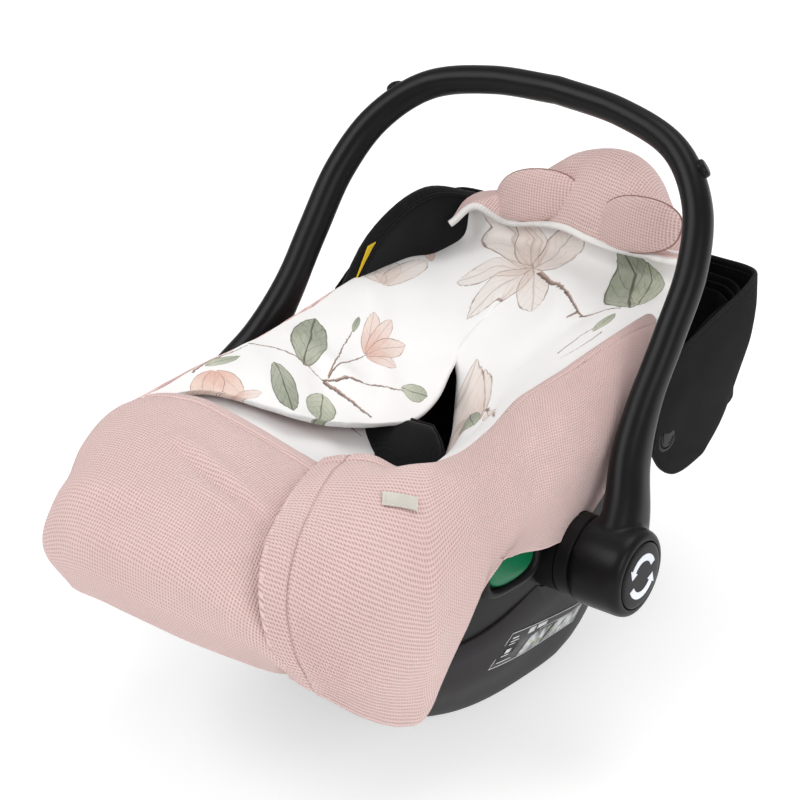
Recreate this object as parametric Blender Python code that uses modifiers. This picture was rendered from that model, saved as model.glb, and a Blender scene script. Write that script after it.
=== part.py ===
"""Infant car seat: bucket shell on a rocker base, swinging carry handle, folded canopy,
harness, and a hooded wrap blanket lying in the seat.

Frame: metres, +Z up, -Y towards the foot end, +Y towards the head end, +X towards the
occupant's left. The origin is the centre of the flat face that the base rests on.
"""

import math

import bmesh
import bpy
from mathutils import Matrix, Vector

# ---- driving dimensions -------------------------------------------------------------
GAP = 0.0003  # between pieces that touch

HUB_Z = 0.155  # height of the handle's axis
HANDLE_TILT = math.radians(38.7)  # how far the handle leans back at rest
HANDLE_REACH = 0.346  # handle axis to the middle of the grip
LEG_X = 0.1735  # half the spacing of the handle's legs
HUB_X0, HUB_X1 = 0.1775, 0.2225  # inner and outer face of a handle hub
HUB_R = 0.036
HUB_CAVITY_R = 0.0275
BUTTON_R = 0.0268
BUTTON_TRAVEL = 0.004

SHELL_FRONT, SHELL_REAR = -0.270, 0.273  # ends of the shell's rim
SHELL_HALF_WIDTH = 0.148
SHELL_WALL = 0.0035
FOAM_OFFSET, FOAM_WALL = 0.0055, 0.0075
COVER_OFFSET, COVER_WALL = 0.0175, 0.009

BASE_WALL = 0.005

KNOB_Y, KNOB_Z = 0.143, 0.192  # canopy pivot
CANOPY_X = 0.1520  # inner face of the canopy's side panels
CANOPY_WALL = 0.0045

# Heights of the shell's rim and keel, and the rise of its side wings, over y.
RIM = [
    (-0.30, 0.186), (-0.18, 0.176), (-0.05, 0.178), (0.05, 0.188),
    (0.14, 0.212), (0.22, 0.245), (0.29, 0.262),
]
BELLY = [
    (-0.30, 0.176), (-0.26, 0.154), (-0.20, 0.118), (-0.13, 0.076), (-0.06, 0.042), (0.0, 0.028),
    (0.10, 0.035), (0.18, 0.064), (0.24, 0.115), (0.29, 0.19),
]
WING = [
    (-0.30, 0.0), (0.04, 0.004), (0.10, 0.018), (0.145, 0.048),
    (0.20, 0.050), (0.25, 0.026), (0.29, 0.010),
]
WRAP_BACK = [(0.03, 0.186), (0.07, 0.196), (0.12, 0.216), (0.18, 0.240), (0.24, 0.262), (0.27, 0.272)]

COLOURS = {
    "shell": (0.020, 0.020, 0.022),
    "base": (0.050, 0.046, 0.048),
    "handle": (0.018, 0.018, 0.020),
    "foam": (0.80, 0.80, 0.78),
    "cover": (0.022, 0.022, 0.024),
    "webbing": (0.03, 0.03, 0.032),
    "green": (0.01, 0.28, 0.10),
    "steel": (0.55, 0.56, 0.58),
    "red": (0.55, 0.02, 0.02),
    "waffle": (0.72, 0.50, 0.46),
    "lining": (0.90, 0.88, 0.86),
    "yellow": (0.85, 0.65, 0.03),
    "label": (0.86, 0.82, 0.74),
    "print": (0.30, 0.30, 0.31),
}
ROUGHNESS = {"handle": 0.38, "shell": 0.45, "base": 0.5, "green": 0.15, "steel": 0.3, "red": 0.3}


# ---- helpers ------------------------------------------------------------------------
def clear_scene():
    for obj in list(bpy.data.objects):
        bpy.data.objects.remove(obj, do_unlink=True)


def new_collection(name):
    collection = bpy.data.collections.new(name)
    bpy.context.scene.collection.children.link(collection)
    return collection


def material(node, colour):
    made = bpy.data.materials.new(node)
    made.use_nodes = True
    shader = made.node_tree.nodes["Principled BSDF"]
    shader.inputs["Base Color"].default_value = (*COLOURS[colour], 1.0)
    shader.inputs["Roughness"].default_value = ROUGHNESS.get(colour, 0.85)
    shader.inputs["Metallic"].default_value = 1.0 if colour == "steel" else 0.0
    return made


def add_object(name, bm, colour, origin=(0, 0, 0), sharp=35):
    """Makes a bmesh in world coordinates a node whose origin is at the given point."""
    bmesh.ops.recalc_face_normals(bm, faces=bm.faces)
    mesh = bpy.data.meshes.new(name)
    bm.to_mesh(mesh)
    bm.free()
    mesh.transform(Matrix.Translation(-Vector(origin)))
    obj = bpy.data.objects.new(name, mesh)
    obj.location = origin
    mesh.shade_smooth()
    mesh.set_sharp_from_angle(angle=math.radians(sharp))
    if colour is None:
        CUTTERS.objects.link(obj)
        obj.hide_render = True
        obj.display_type = "WIRE"
    else:
        PARTS.objects.link(obj)
        mesh.materials.append(material(name, colour))
    return obj


def loft(rings, caps=True):
    """A bmesh skin over closed rings of equal point counts."""
    bm = bmesh.new()
    rows = [[bm.verts.new(p) for p in ring] for ring in rings]
    count = len(rows[0])
    for low, high in zip(rows, rows[1:]):
        for i in range(count):
            j = (i + 1) % count
            bm.faces.new((low[i], low[j], high[j], high[i]))
    if caps:
        bm.faces.new(rows[0][::-1])
        bm.faces.new(rows[-1])
    return bm


def box(low, high, bevel=0.0, segments=2):
    bm = bmesh.new()
    bmesh.ops.create_cube(bm, size=1.0)
    for vert in bm.verts:
        vert.co = Vector([(a + b) / 2 + c * (b - a) for a, b, c in zip(low, high, vert.co)])
    if bevel:
        bmesh.ops.bevel(bm, geom=bm.edges, offset=bevel, segments=segments, affect="EDGES", profile=0.5)
    return bm


def cylinder_x(x0, x1, y, z, radius, sides=24, bevel=0.0):
    """A cylinder along X, its two rims chamfered by bevel."""
    bm = bmesh.new()
    bmesh.ops.create_cone(
        bm, cap_ends=True, segments=sides, radius1=radius, radius2=radius, depth=abs(x1 - x0)
    )
    if bevel:
        rims = [e for e in bm.edges if abs(e.verts[0].co.z - e.verts[1].co.z) < 1e-6]
        bmesh.ops.bevel(bm, geom=rims, offset=bevel, segments=2, affect="EDGES", profile=0.5)
    place = Matrix.Translation(((x0 + x1) / 2, y, z)) @ Matrix.Rotation(math.pi / 2, 4, "Y")
    bmesh.ops.transform(bm, matrix=place, verts=bm.verts)
    return bm


def boolean(obj, tool, operation="DIFFERENCE"):
    modifier = obj.modifiers.new(f"{operation.lower()}_{tool.name}", "BOOLEAN")
    modifier.operation = operation
    modifier.object = tool
    modifier.solver = "EXACT"


def curve_value(points, t):
    """Catmull-Rom through (position, value) points, held at both ends."""
    if t <= points[0][0]:
        return points[0][1]
    if t >= points[-1][0]:
        return points[-1][1]
    i = max(k for k in range(len(points) - 1) if points[k][0] <= t)
    (x1, y1), (x2, y2) = points[i], points[i + 1]
    x0, y0 = points[i - 1] if i else (2 * x1 - x2, 2 * y1 - y2)
    x3, y3 = points[i + 2] if i + 2 < len(points) else (2 * x2 - x1, 2 * y2 - y1)
    span = x2 - x1
    m1, m2 = (y2 - y0) / (x2 - x0) * span, (y3 - y1) / (x3 - x1) * span
    u = (t - x1) / span
    return (
        (2 * u**3 - 3 * u**2 + 1) * y1
        + (u**3 - 2 * u**2 + u) * m1
        + (-2 * u**3 + 3 * u**2) * y2
        + (u**3 - u**2) * m2
    )


def both_sides():
    return (("left", 1), ("right", -1))


def power(value, exponent):
    return math.copysign(abs(value) ** exponent, value)


# ---- the bucket form ----------------------------------------------------------------
BOWL_ANGLES = (0, 16, 33, 49, 62, 73, 81, 86)
SHELL_MID = (SHELL_FRONT + SHELL_REAR) / 2


def bowl_rings(offset, raise_rim=None, sides=32, angles=BOWL_ANGLES):
    """Rings from the rim to the belly of the bucket, moved inwards by offset."""
    half_length = (SHELL_REAR - SHELL_FRONT) / 2 - offset
    half_width = SHELL_HALF_WIDTH - offset
    rings = []
    for degrees in angles:
        a = math.radians(degrees)
        across, down = math.cos(a) ** 0.45, math.sin(a) ** 0.9
        ring = []
        for k in range(sides):
            phi = 2 * math.pi * k / sides
            rim_x = half_width * power(math.cos(phi), 0.62)
            rim_y = SHELL_MID + half_length * power(math.sin(phi), 0.66)
            rim_z = curve_value(RIM, rim_y)
            y = SHELL_MID + (rim_y - SHELL_MID) * across
            lift = curve_value(raise_rim, rim_y) * (1 - down) if raise_rim else 0.0
            z = rim_z + (curve_value(BELLY, y) + offset - rim_z) * down + lift
            ring.append(Vector((rim_x * across, y, z)))
        rings.append(ring)
    return rings


def close_belly(bm, rings, offset):
    middle = bm.verts.new((0, SHELL_MID, curve_value(BELLY, SHELL_MID) + offset))
    bm.verts.ensure_lookup_table()
    count = len(rings[0])
    last = [bm.verts[(len(rings) - 1) * count + k] for k in range(count)]
    for k in range(count):
        bm.faces.new((last[k], last[(k + 1) % count], middle))


def bowl_height(x, y, offset):
    """Height of the bucket's surface over (x, y), by halving the distance to its ring."""
    half_length = (SHELL_REAR - SHELL_FRONT) / 2 - offset
    half_width = SHELL_HALF_WIDTH - offset
    low, high = 1e-4, 1.0
    for _ in range(30):
        across = (low + high) / 2
        outside = abs(x / half_width / across) ** (2 / 0.62)
        outside += abs((y - SHELL_MID) / half_length / across) ** (2 / 0.66)
        low, high = (across, high) if outside > 1 else (low, across)
    down = math.sin(math.acos(across ** (1 / 0.45))) ** 0.9
    rim_z = curve_value(RIM, SHELL_MID + (y - SHELL_MID) / across)
    return rim_z + (curve_value(BELLY, y) + offset - rim_z) * down


def bucket(name, offset, wall, colour, raise_rim=None, sides=32):
    """An open bucket, given its wall by Solidify."""
    rings = bowl_rings(offset, raise_rim, sides)
    bm = loft(rings, caps=False)
    close_belly(bm, rings, offset)
    obj = add_object(name, bm, colour)
    solid = obj.modifiers.new("wall", "SOLIDIFY")
    solid.thickness = wall
    solid.offset = -1.0
    return obj


def bucket_cutter(name, offset, extra_rise=0.0):
    """The bucket's closed outer volume, for cutting what surrounds it."""
    rings = bowl_rings(offset)
    top = [p + Vector((0, 0, extra_rise)) for p in rings[0]]
    bm = loft([top] + rings if extra_rise else rings, caps=False)
    bm.verts.ensure_lookup_table()
    rim = [bm.verts[k] for k in range(len(rings[0]))]
    bm.faces.new(rim)
    close_belly(bm, [top] + rings if extra_rise else rings, offset)
    return add_object(name, bm, None)


# ---- shell and base -----------------------------------------------------------------
BASE_LEVELS = (
    # height, half width, front, rear
    (0.000, 0.1030, -0.076, 0.108),
    (0.003, 0.1080, -0.083, 0.120),
    (0.014, 0.1160, -0.098, 0.138),
    (0.040, 0.1270, -0.120, 0.155),
    (0.075, 0.1370, -0.148, 0.160),
    (0.108, 0.1455, -0.170, 0.150),
)


def base_rings(inset, floor):
    rings = []
    for height, half_width, front, rear in BASE_LEVELS:
        ring = []
        for k in range(28):
            phi = 2 * math.pi * k / 28
            y = (front + rear) / 2 + ((rear - front) / 2 - inset) * power(math.sin(phi), 0.72)
            x = (half_width - inset) * power(math.cos(phi), 0.5)
            ring.append(Vector((x, y, max(height, floor))))
        rings.append(ring)
    top = rings[-1]
    rings.append([Vector((p.x, p.y, 0.117 + 0.015 * math.exp(-((p.y / 0.06) ** 2)))) for p in top])
    return rings


def make_base():
    base = add_object("lower_base", loft(base_rings(0.0, 0.0)), "base", sharp=40)
    inner = base_rings(BASE_WALL, BASE_WALL)[1:5]
    inner.append([Vector((p.x, p.y, 0.160)) for p in inner[-1]])
    cavity = add_object("cut_base_cavity", loft(inner), None)
    boolean(base, cavity)
    boolean(base, SEAT_CUT)
    for side, sign in both_sides():
        hub = cylinder_x(sign * 0.12, sign * 0.19, 0, HUB_Z, HUB_R + 0.003)
        boolean(base, add_object(f"cut_hub_{side}", hub, None))
    return base


def make_base_screws():
    """Four screws up through the base's floor into the shell."""
    for name, x, y in (
        ("base_screw_front_left", 0.045, -0.05),
        ("base_screw_front_right", -0.045, -0.05),
        ("base_screw_rear_left", 0.045, 0.05),
        ("base_screw_rear_right", -0.045, 0.05),
    ):
        bm = bmesh.new()
        bmesh.ops.create_cone(bm, cap_ends=True, segments=12, radius1=0.005, radius2=0.005, depth=0.004)
        bmesh.ops.translate(bm, vec=(x, y, BASE_WALL + 0.0023 + GAP), verts=bm.verts)
        add_object(name, bm, "steel")


# ---- handle -------------------------------------------------------------------------
HANDLE_PATH = (
    # x and height in the handle's own plane, from the left hub to the middle of the grip
    (0.2000, 0.000),
    (0.1930, 0.040),
    (0.1800, 0.080),
    (LEG_X, 0.125),
    (0.1725, 0.180),
    (0.1700, 0.235),
    (0.1540, 0.285),
    (0.1180, 0.3235),
    (0.0620, 0.341),
    (0.0000, HANDLE_REACH),
)


def handle_path(steps):
    """Points on a smooth curve through the left half of the handle, hub to grip."""
    knots = [Vector(p) for p in HANDLE_PATH]
    knots = [2 * knots[0] - knots[1]] + knots + [Vector((-knots[-2].x, knots[-2].y))]
    points = []
    for i in range(1, len(knots) - 2):
        p0, p1, p2, p3 = knots[i - 1 : i + 3]
        for k in range(steps):
            u = k / steps
            square = (2 * p0 - 5 * p1 + 4 * p2 - p3) * u**2
            cube = (3 * p1 - p0 - 3 * p2 + p3) * u**3
            points.append(0.5 * (2 * p1 + (p2 - p0) * u + square + cube))
    points.append(Vector((0.0, HANDLE_REACH)))
    return points


def tilt(x, height, forward=0.0):
    """A point of the handle's plane, in the row frame; forward is towards the foot end."""
    s, c = math.sin(HANDLE_TILT), math.cos(HANDLE_TILT)
    return Vector((x, height * s - forward * c, HUB_Z + height * c + forward * s))


def handle_section(point, tangent, sides=12):
    """A rounded section; it widens from the grip down to the hub."""
    low = max(0.0, 1.0 - point.y / 0.15)
    across = 0.0108 + 0.0007 * min(1.0, (HANDLE_REACH - point.y) / 0.1) + 0.0065 * low**1.5
    swing = 0.0130 + 0.0165 * low**1.3
    normal = Vector((tangent.y, -tangent.x))
    ring = []
    for k in range(sides):
        a = 2 * math.pi * k / sides
        u = across * power(math.cos(a), 0.8)
        v = swing * power(math.sin(a), 0.8)
        ring.append(tilt(point.x + normal.x * u, point.y + normal.y * u, v))
    return ring


def handle_rings(points):
    rings = []
    for i, point in enumerate(points):
        before, after = points[max(0, i - 1)], points[min(len(points) - 1, i + 1)]
        rings.append(handle_section(point, (after - before).normalized()))
    return rings


def make_handle():
    half = handle_path(3)
    split = next(i for i, p in enumerate(half) if p.y > 0.150)
    arch_half = half[split:]
    arch = arch_half + [Vector((-p.x, p.y)) for p in arch_half[-2::-1]]
    rings = handle_rings(arch)
    add_object("handle_arch", loft(rings), "handle", origin=(0, 0, HUB_Z))
    for side, sign in both_sides():
        arm = [p for p in half[: split + 1] if p.y > 0.012]
        arm[-1] = arm[-1] - (arm[-1] - arm[-2]).normalized() * GAP
        rings = handle_rings(arm)
        mirror = Matrix.Diagonal((sign, 1, 1, 1))
        rings = [[mirror @ p for p in ring] for ring in rings]
        obj = add_object(f"handle_arm_{side}", loft(rings), "handle", origin=(0, 0, HUB_Z))
        drum = cylinder_x(sign * HUB_X0, sign * HUB_X1, 0, HUB_Z, HUB_R, 32, 0.006)
        boolean(obj, add_object(f"join_hub_{side}", drum, None), "UNION")
        cavity = cylinder_x(sign * 0.1850, sign * 0.2300, 0, HUB_Z, HUB_CAVITY_R, 32)
        boolean(obj, add_object(f"cut_cavity_{side}", cavity, None))
        bore = cylinder_x(sign * 0.1700, sign * 0.1900, 0, HUB_Z, 0.0068, 20)
        boolean(obj, add_object(f"cut_bore_{side}", bore, None))


def make_handle_pegs():
    """Pegs on the outer side of the arch, which hold the canopy's edge."""
    for side, sign in both_sides():
        centre = tilt(sign * 0.1475, 0.3135)
        outward = Vector((sign * 0.72, 0.694 * math.sin(HANDLE_TILT), 0.694 * math.cos(HANDLE_TILT)))
        bm = bmesh.new()
        bmesh.ops.create_cone(bm, cap_ends=True, segments=16, radius1=0.0070, radius2=0.0085, depth=0.011)
        turn = outward.to_track_quat("Z", "Y").to_matrix().to_4x4()
        base = centre + outward * 0.0015
        bmesh.ops.transform(bm, matrix=Matrix.Translation(base) @ turn, verts=bm.verts)
        peg = add_object(f"canopy_peg_{side}", bm, "handle", origin=(0, 0, HUB_Z))
        boolean(peg, ARCH_CUT)


def make_arch_cutter():
    """The arch grown by the gap, which shapes the pegs' seats."""
    half = handle_path(3)
    points = [p for p in half if p.y > 0.24]
    points = points + [Vector((-p.x, p.y)) for p in points[-2::-1]]
    rings = []
    for ring in handle_rings(points):
        middle = sum(ring, Vector()) / len(ring)
        rings.append([middle + (p - middle) * 1.03 for p in ring])
    return add_object("cut_arch", loft(rings), None)


def make_hub_internals():
    for side, sign in both_sides():
        disc = cylinder_x(sign * 0.139, sign * 0.1768, 0, HUB_Z, 0.0320, 32, 0.002)
        plate = add_object(f"ratchet_plate_{side}", disc, "shell")
        boolean(plate, BOWL_CUT)
        bore = cylinder_x(sign * 0.120, sign * 0.180, 0, HUB_Z, 0.0068, 20)
        boolean(plate, add_object(f"cut_plate_{side}", bore, None))

        shank = cylinder_x(sign * 0.1515, sign * 0.1860, 0, HUB_Z, 0.0062, 20)
        bolt = add_object(f"pivot_bolt_{side}", shank, "steel")
        head = cylinder_x(sign * 0.1854, sign * 0.1885, 0, HUB_Z, 0.0110, 20)
        boolean(bolt, add_object(f"join_bolt_{side}", head, None), "UNION")

        gear = lock_gear(sign)
        add_object(f"lock_gear_{side}", gear, "steel", origin=(sign * 0.2, 0, HUB_Z), sharp=20)

        spring = add_object(
            f"button_spring_{side}", cylinder_x(sign * 0.1890, sign * 0.1955, 0, HUB_Z, 0.0095, 20), "steel"
        )
        hole = cylinder_x(sign * 0.180, sign * 0.200, 0, HUB_Z, 0.0078, 20)
        boolean(spring, add_object(f"cut_spring_{side}", hole, None))

        button = add_object(
            f"release_button_{side}",
            cylinder_x(sign * 0.2120, sign * 0.2232, 0, HUB_Z, BUTTON_R, 32, 0.0015),
            "handle",
            origin=(sign * 0.2, 0, HUB_Z),
        )
        stem = cylinder_x(sign * 0.2023, sign * 0.2130, 0, HUB_Z, 0.0060, 16)
        boolean(button, add_object(f"join_stem_{side}", stem, None), "UNION")


def lock_gear(sign):
    """A star wheel with eight blunt teeth, 6 mm thick."""
    rings = []
    for x in (0.1960, 0.2020):
        ring = []
        for k in range(32):
            a = 2 * math.pi * k / 32
            radius = 0.0205 if k % 4 < 2 else 0.0165
            ring.append(Vector((sign * x, radius * math.cos(a), HUB_Z + radius * math.sin(a))))
        rings.append(ring)
    return loft(rings)


# ---- canopy -------------------------------------------------------------------------
CANOPY_SIDE = (
    # y, z: the folded canopy's side, from its lower front round the pivot
    (0.124, 0.184),
    (0.127, 0.240),
    (0.150, 0.252),
    (0.307, 0.268),
    (0.322, 0.225),
    (0.321, 0.185),
    (0.300, 0.155),
    (0.240, 0.128),
    (0.190, 0.140),
)
CANOPY_REAR = 0.3225


def make_canopy():
    rings = []
    outer = CANOPY_X + CANOPY_WALL
    for x in (outer, -outer):
        rings.append([Vector((x, y, z)) for y, z in CANOPY_SIDE])
    fabric = add_object("canopy_fabric", loft(rings), "cover", origin=(0, KNOB_Y, KNOB_Z), sharp=50)
    hollow = box((-CANOPY_X, 0.05, 0.05), (CANOPY_X, CANOPY_REAR - 0.0235, 0.40))
    boolean(fabric, add_object("cut_canopy_inside", hollow, None))
    under = box((-CANOPY_X, 0.25, 0.10), (CANOPY_X, CANOPY_REAR - 0.0035, 0.1855))
    boolean(fabric, add_object("cut_canopy_under", under, None))
    for side, sign in both_sides():
        hole = cylinder_x(sign * 0.148, sign * 0.160, KNOB_Y, KNOB_Z, 0.0056, 20)
        boolean(fabric, add_object(f"cut_canopy_pin_{side}", hole, None))
        knob = add_object(
            f"canopy_knob_{side}",
            cylinder_x(sign * (outer + GAP), sign * 0.1598, KNOB_Y, KNOB_Z, 0.0150, 28, 0.0010),
            "handle",
            origin=(0, KNOB_Y, KNOB_Z),
        )
        blind = cylinder_x(sign * 0.150, sign * 0.1585, KNOB_Y, KNOB_Z, 0.0056, 20)
        boolean(knob, add_object(f"cut_knob_{side}", blind, None))
        barrel = cylinder_x(sign * 0.118, sign * 0.1512, KNOB_Y, KNOB_Z, 0.0120, 24)
        socket = add_object(f"canopy_socket_{side}", barrel, "shell")
        pin = cylinder_x(sign * 0.150, sign * 0.1575, KNOB_Y, KNOB_Z, 0.0050, 20)
        boolean(socket, add_object(f"join_pin_{side}", pin, None), "UNION")
        boolean(socket, BOWL_CUT)
        boolean(socket, COVER_CUT)


# ---- padding and harness ------------------------------------------------------------
def floor_z(y, lift, x=0.085):
    """Height of the cover's inner floor at x from the centre line, plus lift."""
    return bowl_height(x, y, COVER_OFFSET + COVER_WALL) + lift


def strip(x0, x1, stations, bottom, thickness, crown=0.0, sides=3):
    """A flat strip along Y: bottom(y) gives its lower face, crown arches its upper one."""
    rings = []
    for y in stations:
        low = bottom(y)
        ring = []
        for k in range(sides + 1):
            u = k / sides
            ring.append(Vector((x0 + (x1 - x0) * u, y, low)))
        for k in range(sides, -1, -1):
            u = k / sides
            arch = crown * (1 - (2 * u - 1) ** 2)
            ring.append(Vector((x0 + (x1 - x0) * u, y, low + thickness + arch)))
        rings.append(ring)
    return loft(rings)


def span(start, end, count):
    return [start + (end - start) * k / (count - 1) for k in range(count)]


INSERT_LIFT, INSERT_THICK = 0.004, 0.056


def make_padding():
    seat_floor = span(0.024, 0.165, 7)
    insert = strip(-0.078, 0.078, seat_floor, lambda y: floor_z(y, INSERT_LIFT), INSERT_THICK, 0.006, 4)
    add_object("seat_insert", insert, "cover")
    head_floor = span(0.172, 0.204, 4)
    headrest = strip(-0.062, 0.062, head_floor, lambda y: floor_z(y, 0.009, 0.07), 0.044, 0.006, 4)
    add_object("headrest_pad", headrest, "cover")


def make_harness():
    top = INSERT_LIFT + INSERT_THICK + 0.007
    for side, sign in both_sides():
        x0, x1 = sorted((sign * 0.024, sign * 0.052))
        belt = strip(x0, x1, span(0.040, 0.160, 7), lambda y: floor_z(y, top), 0.0025, 0.0, 1)
        add_object(f"shoulder_strap_{side}", belt, "webbing")
        x0, x1 = sorted((sign * 0.019, sign * 0.057))
        pad = strip(x0, x1, span(0.080, 0.150, 5), lambda y: floor_z(y, top + 0.0035), 0.008, 0.003, 3)
        add_object(f"shoulder_pad_{side}", pad, "cover")
        low_x, high_x = sorted((sign * 0.002, sign * 0.018))
        tongue = box((low_x, -0.0145, 0.1670), (high_x, -0.0115, 0.1930), 0.0008, 1)
        add_object(f"buckle_tongue_{side}", tongue, "steel")


def make_buckle():
    """The buckle stands on the crotch strap, with the crotch pad behind it."""
    block = box((-0.021, -0.0220, 0.1200), (0.021, -0.0040, 0.1800), 0.004, 2)
    body = add_object("buckle_body", block, "handle")
    slot = box((-0.0185, -0.0150, 0.1660), (0.0185, -0.0110, 0.1900))
    boolean(body, add_object("cut_buckle_slot", slot, None))
    well = box((-0.0095, -0.0300, 0.1300), (0.0095, -0.0120, 0.1500))
    boolean(body, add_object("cut_buckle_well", well, None))
    button = box((-0.0088, -0.0235, 0.1307), (0.0088, -0.0160, 0.1493), 0.0012, 2)
    add_object("buckle_button", button, "red", origin=(0, -0.0160, 0.1400))
    strap = box((-0.019, -0.0145, 0.0650), (0.019, -0.0115, 0.1197))
    add_object("crotch_strap", strap, "webbing")
    pad = strip(-0.036, 0.036, span(-0.0035, 0.0115, 3), lambda y: 0.0750, 0.108, 0.008, 4)
    add_object("crotch_pad", pad, "cover")


def make_adjuster():
    block = box((-0.022, -0.1860, 0.1445), (0.022, -0.1480, 0.1585), 0.003, 2)
    housing = add_object("adjuster_housing", block, "shell")
    well = box((-0.0125, -0.1810, 0.1495), (0.0125, -0.1580, 0.1655))
    boolean(housing, add_object("cut_adjuster_well", well, None))
    button = box((-0.0118, -0.1803, 0.1530), (0.0118, -0.1587, 0.1607), 0.0012, 2)
    add_object("adjuster_button", button, "handle", origin=(0, -0.168, 0.1530))
    stations = span(-0.1475, -0.120, 4)
    strap = strip(-0.015, 0.015, stations, lambda y: 0.1485 - 0.95 * (y + 0.1475), 0.0025, 0.0, 1)
    add_object("adjuster_strap", strap, "webbing")


# ---- outside trim -------------------------------------------------------------------
def make_belt_guides():
    for side, sign in both_sides():
        pod = pod_rings(sign, -0.122, -0.045, 0.128, 0.178, 0.138, 0.1590)
        pod = add_object(f"belt_guide_pod_{side}", loft(pod), "base", sharp=50)
        boolean(pod, BOWL_CUT)
        boolean(pod, BASE_CUT)
        slot = pod_rings(sign, -0.112, -0.055, 0.1385, 0.1715, 0.1525, 0.175)
        boolean(pod, add_object(f"cut_pod_{side}", loft(slot), None))
        hook = pod_rings(sign, -0.109, -0.058, 0.1400, 0.1700, 0.1528, 0.1565)
        add_object(f"belt_guide_{side}", loft(hook), "green", sharp=50)


def pod_rings(sign, y0, y1, z0, z1, x0, x1, sides=24):
    """An oval boss along X, narrower at its outer face."""
    rings = []
    for x, grow in ((x0, 1.0), (x0 + 0.8 * (x1 - x0), 1.0), (x1, 0.9)):
        ring = []
        for k in range(sides):
            a = 2 * math.pi * k / sides
            y = (y0 + y1) / 2 + grow * (y1 - y0) / 2 * power(math.cos(a), 0.85)
            z = (z0 + z1) / 2 + grow * (z1 - z0) / 2 * power(math.sin(a), 0.85) + 0.18 * (y - y1)
            ring.append(Vector((sign * x, y, z)))
        rings.append(ring)
    return rings


def make_rear_guide():
    """The diagonal belt's guide: a hook below the canopy on the back of the shell."""
    block = box((-0.045, 0.225, 0.098), (0.045, 0.275, 0.122), 0.004, 2)
    guide = add_object("rear_belt_guide", block, "green")
    boolean(guide, BOWL_CUT)
    slot = box((-0.034, 0.262, 0.1065), (0.060, 0.269, 0.140))
    boolean(guide, add_object("cut_rear_guide", slot, None))


def make_labels():
    tab = box((-0.1052, 0.1440, 0.2380), (-0.1042, 0.1640, 0.2640))
    add_object("side_tab", tab, "yellow")
    ring = []
    for y, z in ((-0.066, 0.069), (0.060, 0.046), (0.072, 0.062), (-0.050, 0.099)):
        ring.append(Vector((0, y, z)))
    near = [p + Vector((0.1440, 0, 0)) for p in ring]
    far = [p + Vector((0.1250, 0, 0)) for p in ring]
    panel = add_object("base_label", loft([far, near]), "print")
    boolean(panel, BASE_CUT)


# ---- wrap blanket -------------------------------------------------------------------
POCKET = (
    # y, half width, lowest z, highest z
    (-0.306, 0.085, 0.176, 0.212),
    (-0.298, 0.112, 0.150, 0.234),
    (-0.275, 0.132, 0.112, 0.254),
    (-0.240, 0.144, 0.080, 0.268),
    (-0.200, 0.1495, 0.078, 0.272),
    (-0.160, 0.1505, 0.080, 0.268),
    (-0.128, 0.1500, 0.110, 0.262),
)


def oval_ring(y, half_width, low, high, sides=20, square=0.72):
    ring = []
    for k in range(sides):
        a = 2 * math.pi * k / sides
        ring.append(
            Vector(
                (
                    half_width * power(math.cos(a), square),
                    y,
                    (low + high) / 2 + (high - low) / 2 * power(math.sin(a), square),
                )
            )
        )
    return ring


def make_foot_pocket():
    pocket = add_object("wrap_foot_pocket", loft([oval_ring(*row) for row in POCKET]), "waffle", sharp=60)
    inside = [
        oval_ring(y, half - 0.010, min(low + 0.010, 0.150), high - 0.009) for y, half, low, high in POCKET[2:]
    ]
    inside.append([p + Vector((0, 0.030, 0)) for p in inside[-1]])
    boolean(pocket, add_object("cut_pocket_inside", loft(inside), None))
    boolean(pocket, POCKET_CUT)
    boolean(pocket, BASE_CUT)


def band(stations, path, thickness):
    """A sheet of even thickness: path(y) gives its upper line as (x, z) points."""
    rings = []
    for y in stations:
        upper = [Vector((x, z)) for x, z in path(y)]
        lower = []
        for i, p in enumerate(upper):
            before, after = upper[max(0, i - 1)], upper[min(len(upper) - 1, i + 1)]
            along = (after - before).normalized()
            lower.append(p + Vector((along.y, -along.x)) * thickness)
        if upper[0].x > upper[-1].x:
            lower = [2 * p - q for p, q in zip(upper, lower)]
        rings.append([Vector((p.x, y, p.y)) for p in upper + lower[::-1]])
    return loft(rings)


NEAR_CREST = [(-0.14, 0.256), (-0.05, 0.246), (0.05, 0.252), (0.12, 0.276), (0.17, 0.296)]
NEAR_EDGE_X = [(-0.14, 0.030), (-0.05, 0.045), (0.05, 0.076), (0.12, 0.088), (0.17, 0.086)]
NEAR_HANG = [(-0.125, 0.150), (-0.10, 0.180), (-0.05, 0.200), (0.06, 0.214), (0.11, 0.256), (0.17, 0.272)]


NEAR_OUTER_X = [(-0.14, 0.1560), (0.06, 0.1560), (0.11, 0.1495), (0.17, 0.1440)]


def near_path(y):
    crest, edge = curve_value(NEAR_CREST, y), curve_value(NEAR_EDGE_X, y)
    hang, outer = curve_value(NEAR_HANG, y), curve_value(NEAR_OUTER_X, y)
    return [
        (edge, crest - 0.030),
        (edge + 0.006, crest - 0.008),
        (edge + 0.018, crest),
        (0.5 * (edge + outer), crest - 0.001),
        (outer - 0.010, crest - 0.010),
        (outer - 0.002, crest - 0.018),
        (outer, 0.5 * (hang + crest) - 0.010),
        (outer, hang),
    ]


def far_path(y):
    rim = 0.232 + 0.10 * max(0.0, y)
    return [
        (-0.1500, rim - 0.040),
        (-0.1480, rim - 0.006),
        (-0.1400, rim + 0.004),
        (-0.1050, rim + 0.002),
        (-0.0750, rim - 0.006),
        (-0.0480, rim - 0.020),
    ]


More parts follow.
